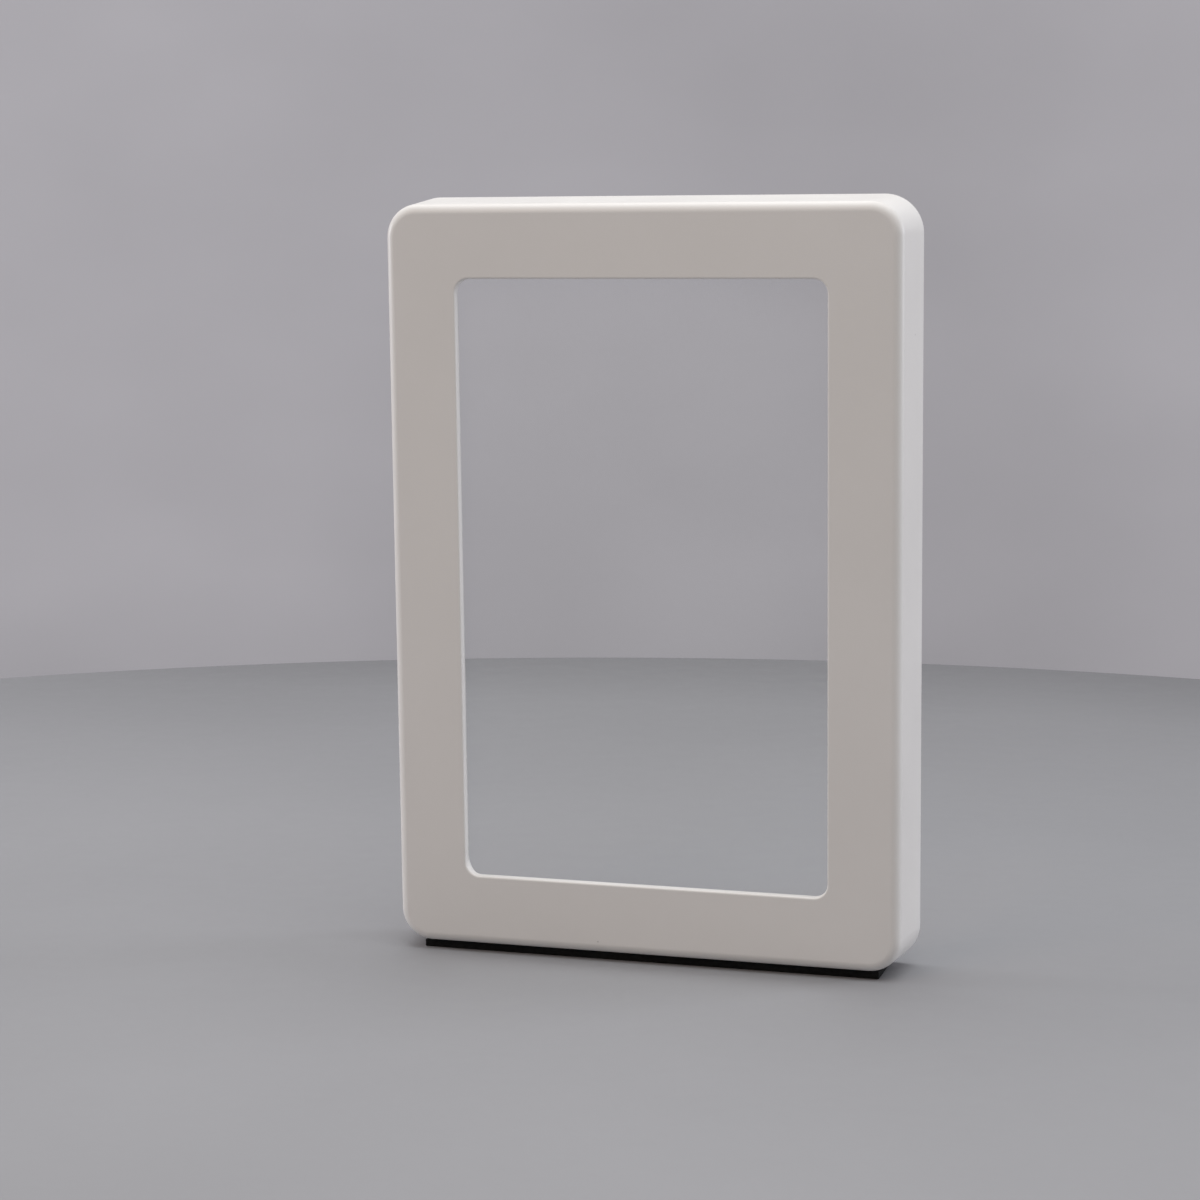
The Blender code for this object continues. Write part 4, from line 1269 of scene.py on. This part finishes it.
CAMERA_AT = (0.21783, -0.75122, 0.22334)
CAMERA_TURN, CAMERA_DOWN, CAMERA_ROLL = 17.22, 8.734, -0.68
CAMERA_LENS = 84.418
TABLE_AT, TABLE_R, TABLE_EDGE, TABLE_THICK = (-0.007, -0.186), 0.68, 0.006, 0.02
TABLE_GREY, TABLE_ROUGHNESS = (0.305, 0.305, 0.318), 0.6
WALL_DISTANCE, WALL_Z, WALL_SPREAD, WALL_COLUMNS = 1.7, (-1.0, 1.6), radians(70), 48
WALL_GREY, WALL_ROUGHNESS = (0.64, 0.63, 0.667), 0.8

# Painted shade as even drops in tone: an axis, where the drop starts and ends in metres, and (part
# of the way, tone)
# Painted shade on the table top: its colour darkens towards its far side.
TABLE_PAINTED_SHADE = ("Y", -0.1, 0.5, (0.0, 1.0), (0.4, 0.93), (0.78, 0.8), (1.0, 0.6))
# Painted shade on the wall: darker towards the bottom, and darker over a broad stretch along x.
WALL_PAINTED_SHADES = (
    ("Z", -0.22, 0.3, (0.0, 0.89), (0.18, 0.93), (0.38, 0.92), (1.0, 0.92)),
    ("X", -1.0, 0.0, (0.0, 1.0), (0.25, 0.97), (0.5, 0.90), (0.7, 0.87), (0.85, 0.91),
     (1.0, 0.97)))

# Each light's place and size in metres, its power in watts and its colour
LIGHTS = {
    "overhead": ((0.05, 0.05, 1.35), (1.8, 1.0), 16.5, (0.96, 0.985, 1.0)),
    "right": ((1.3, 0.65, 0.38), (0.5, 0.4), 7.5, (0.91, 0.92, 1.0)),
    "left": ((-1.3, -0.04, 0.36), (0.5, 0.4), 6.5, (0.93, 0.95, 1.0)),
    "front": ((-0.75, -1.3, 1.3), (0.9, 0.9), 4.0, (1.0, 0.65, 0.45)),
}
AMBIENT_COLOUR, AMBIENT_STRENGTH = (0.96, 0.94, 0.93), 0.36


def make_camera():
    data = bpy.data.cameras.new("camera")
    data.lens = CAMERA_LENS
    data.sensor_width = 36.0
    data.clip_start = 0.01
    camera = show_new("camera", data)
    turn = (Matrix.Rotation(radians(CAMERA_TURN), 4, "Z")
            @ Matrix.Rotation(radians(90 - CAMERA_DOWN), 4, "X")
            @ Matrix.Rotation(radians(CAMERA_ROLL), 4, "Z"))
    camera.matrix_world = Matrix.Translation(CAMERA_AT) @ turn
    bpy.context.scene.camera = camera


def studio_surface(name, colour, roughness, *painted_shades):
    """A pale matt sheet with faint, soft clouds, and painted shade as even drops in tone along the
    axes.
    """
    look = Look(name, colour, roughness, specular=0.3)
    clouds = look.texture("ShaderNodeTexNoise", 3.5, stretch=(1.0, 1.0, 1.6), Detail=3.0,
                          Roughness=0.4)
    tone = look.ramp(clouds, (0.3, shaded(colour, 0.94)), (0.7, shaded(colour, 1.04)))
    # Painted shade: each drop darkens the sheet's colour along one of the axes.
    for axis, start, end, *stops in painted_shades:
        tone = look.multiply(tone, look.ramp(look.along(axis, start, end), *stops))
    look.link(tone, "Base Color")
    look.vary("Roughness", look.noise(60.0, 4.0), (0.3, roughness - 0.06), (0.7, roughness + 0.06))
    look.bump(look.noise(900.0, 3.0), 0.0001, 0.15)
    return look.material


def make_stage():
    """A round table top under the frame and a wall that curves behind it."""
    profile = [(1.0, 0.0)]
    profile += [((TABLE_R - TABLE_EDGE * (1 - s)) / MM, -TABLE_EDGE * (1 - c) / MM)
                for s, c in quarter(5)]
    profile += [(TABLE_R / MM, -TABLE_THICK / MM), (1.0, -TABLE_THICK / MM)]
    table = turned("table_top", profile, None, sides=256)
    table.data.transform(Matrix.Translation((*TABLE_AT, 0)))
    # The table's colour carries painted shade, darker towards its far side.
    table.data.materials.append(
        studio_surface("table_grey_painted_shade", TABLE_GREY, TABLE_ROUGHNESS, TABLE_PAINTED_SHADE))

    bm = bmesh.new()
    rows = []
    for i in range(WALL_COLUMNS + 1):
        a = radians(CAMERA_TURN) + WALL_SPREAD * (2 * i / WALL_COLUMNS - 1)
        rows.append([bm.verts.new((-WALL_DISTANCE * sin(a), WALL_DISTANCE * cos(a), z))
                     for z in WALL_Z])
    for near, far in zip(rows, rows[1:]):
        bm.faces.new((near[0], far[0], far[1], near[1]))
    wall = finish_mesh(bm, "wall", None, 60.0)
    # The wall's colour carries painted shade along z and x.
    wall.data.materials.append(
        studio_surface("wall_grey_painted_shade", WALL_GREY, WALL_ROUGHNESS, *WALL_PAINTED_SHADES))


def make_lights():
    """Four area lights aimed at the frame's middle, and a soft even light from all round."""
    world = bpy.data.worlds.new("studio")
    bpy.context.scene.world = world
    world.use_nodes = True
    background = world.node_tree.nodes["Background"]
    background.inputs["Color"].default_value = (*AMBIENT_COLOUR, 1.0)
    background.inputs["Strength"].default_value = AMBIENT_STRENGTH
    centre = Vector((0, 0, CENTRE_Z * MM))
    for name, (place, size, power, colour) in LIGHTS.items():
        data = bpy.data.lights.new(name, "AREA")
        data.shape = "RECTANGLE"
        data.size, data.size_y = size
        data.energy = power
        data.color = colour
        light = show_new(name, data)
        light.location = place
        light.rotation_euler = (centre - Vector(place)).to_track_quat("-Z", "Y").to_euler()


make_camera()
make_stage()
make_lights()
make_bezel()
make_rear_cover()
make_display()
make_screws()
make_stand()
make_foot()
make_keys()
make_main_board()
make_inlet()
bored_board("key_board", KEY_SCREWS)
for side, _ in SIDES:
    make_speaker(side)
make_aerial()
make_wiring()
bpy.context.scene.view_settings.view_transform = "Standard"
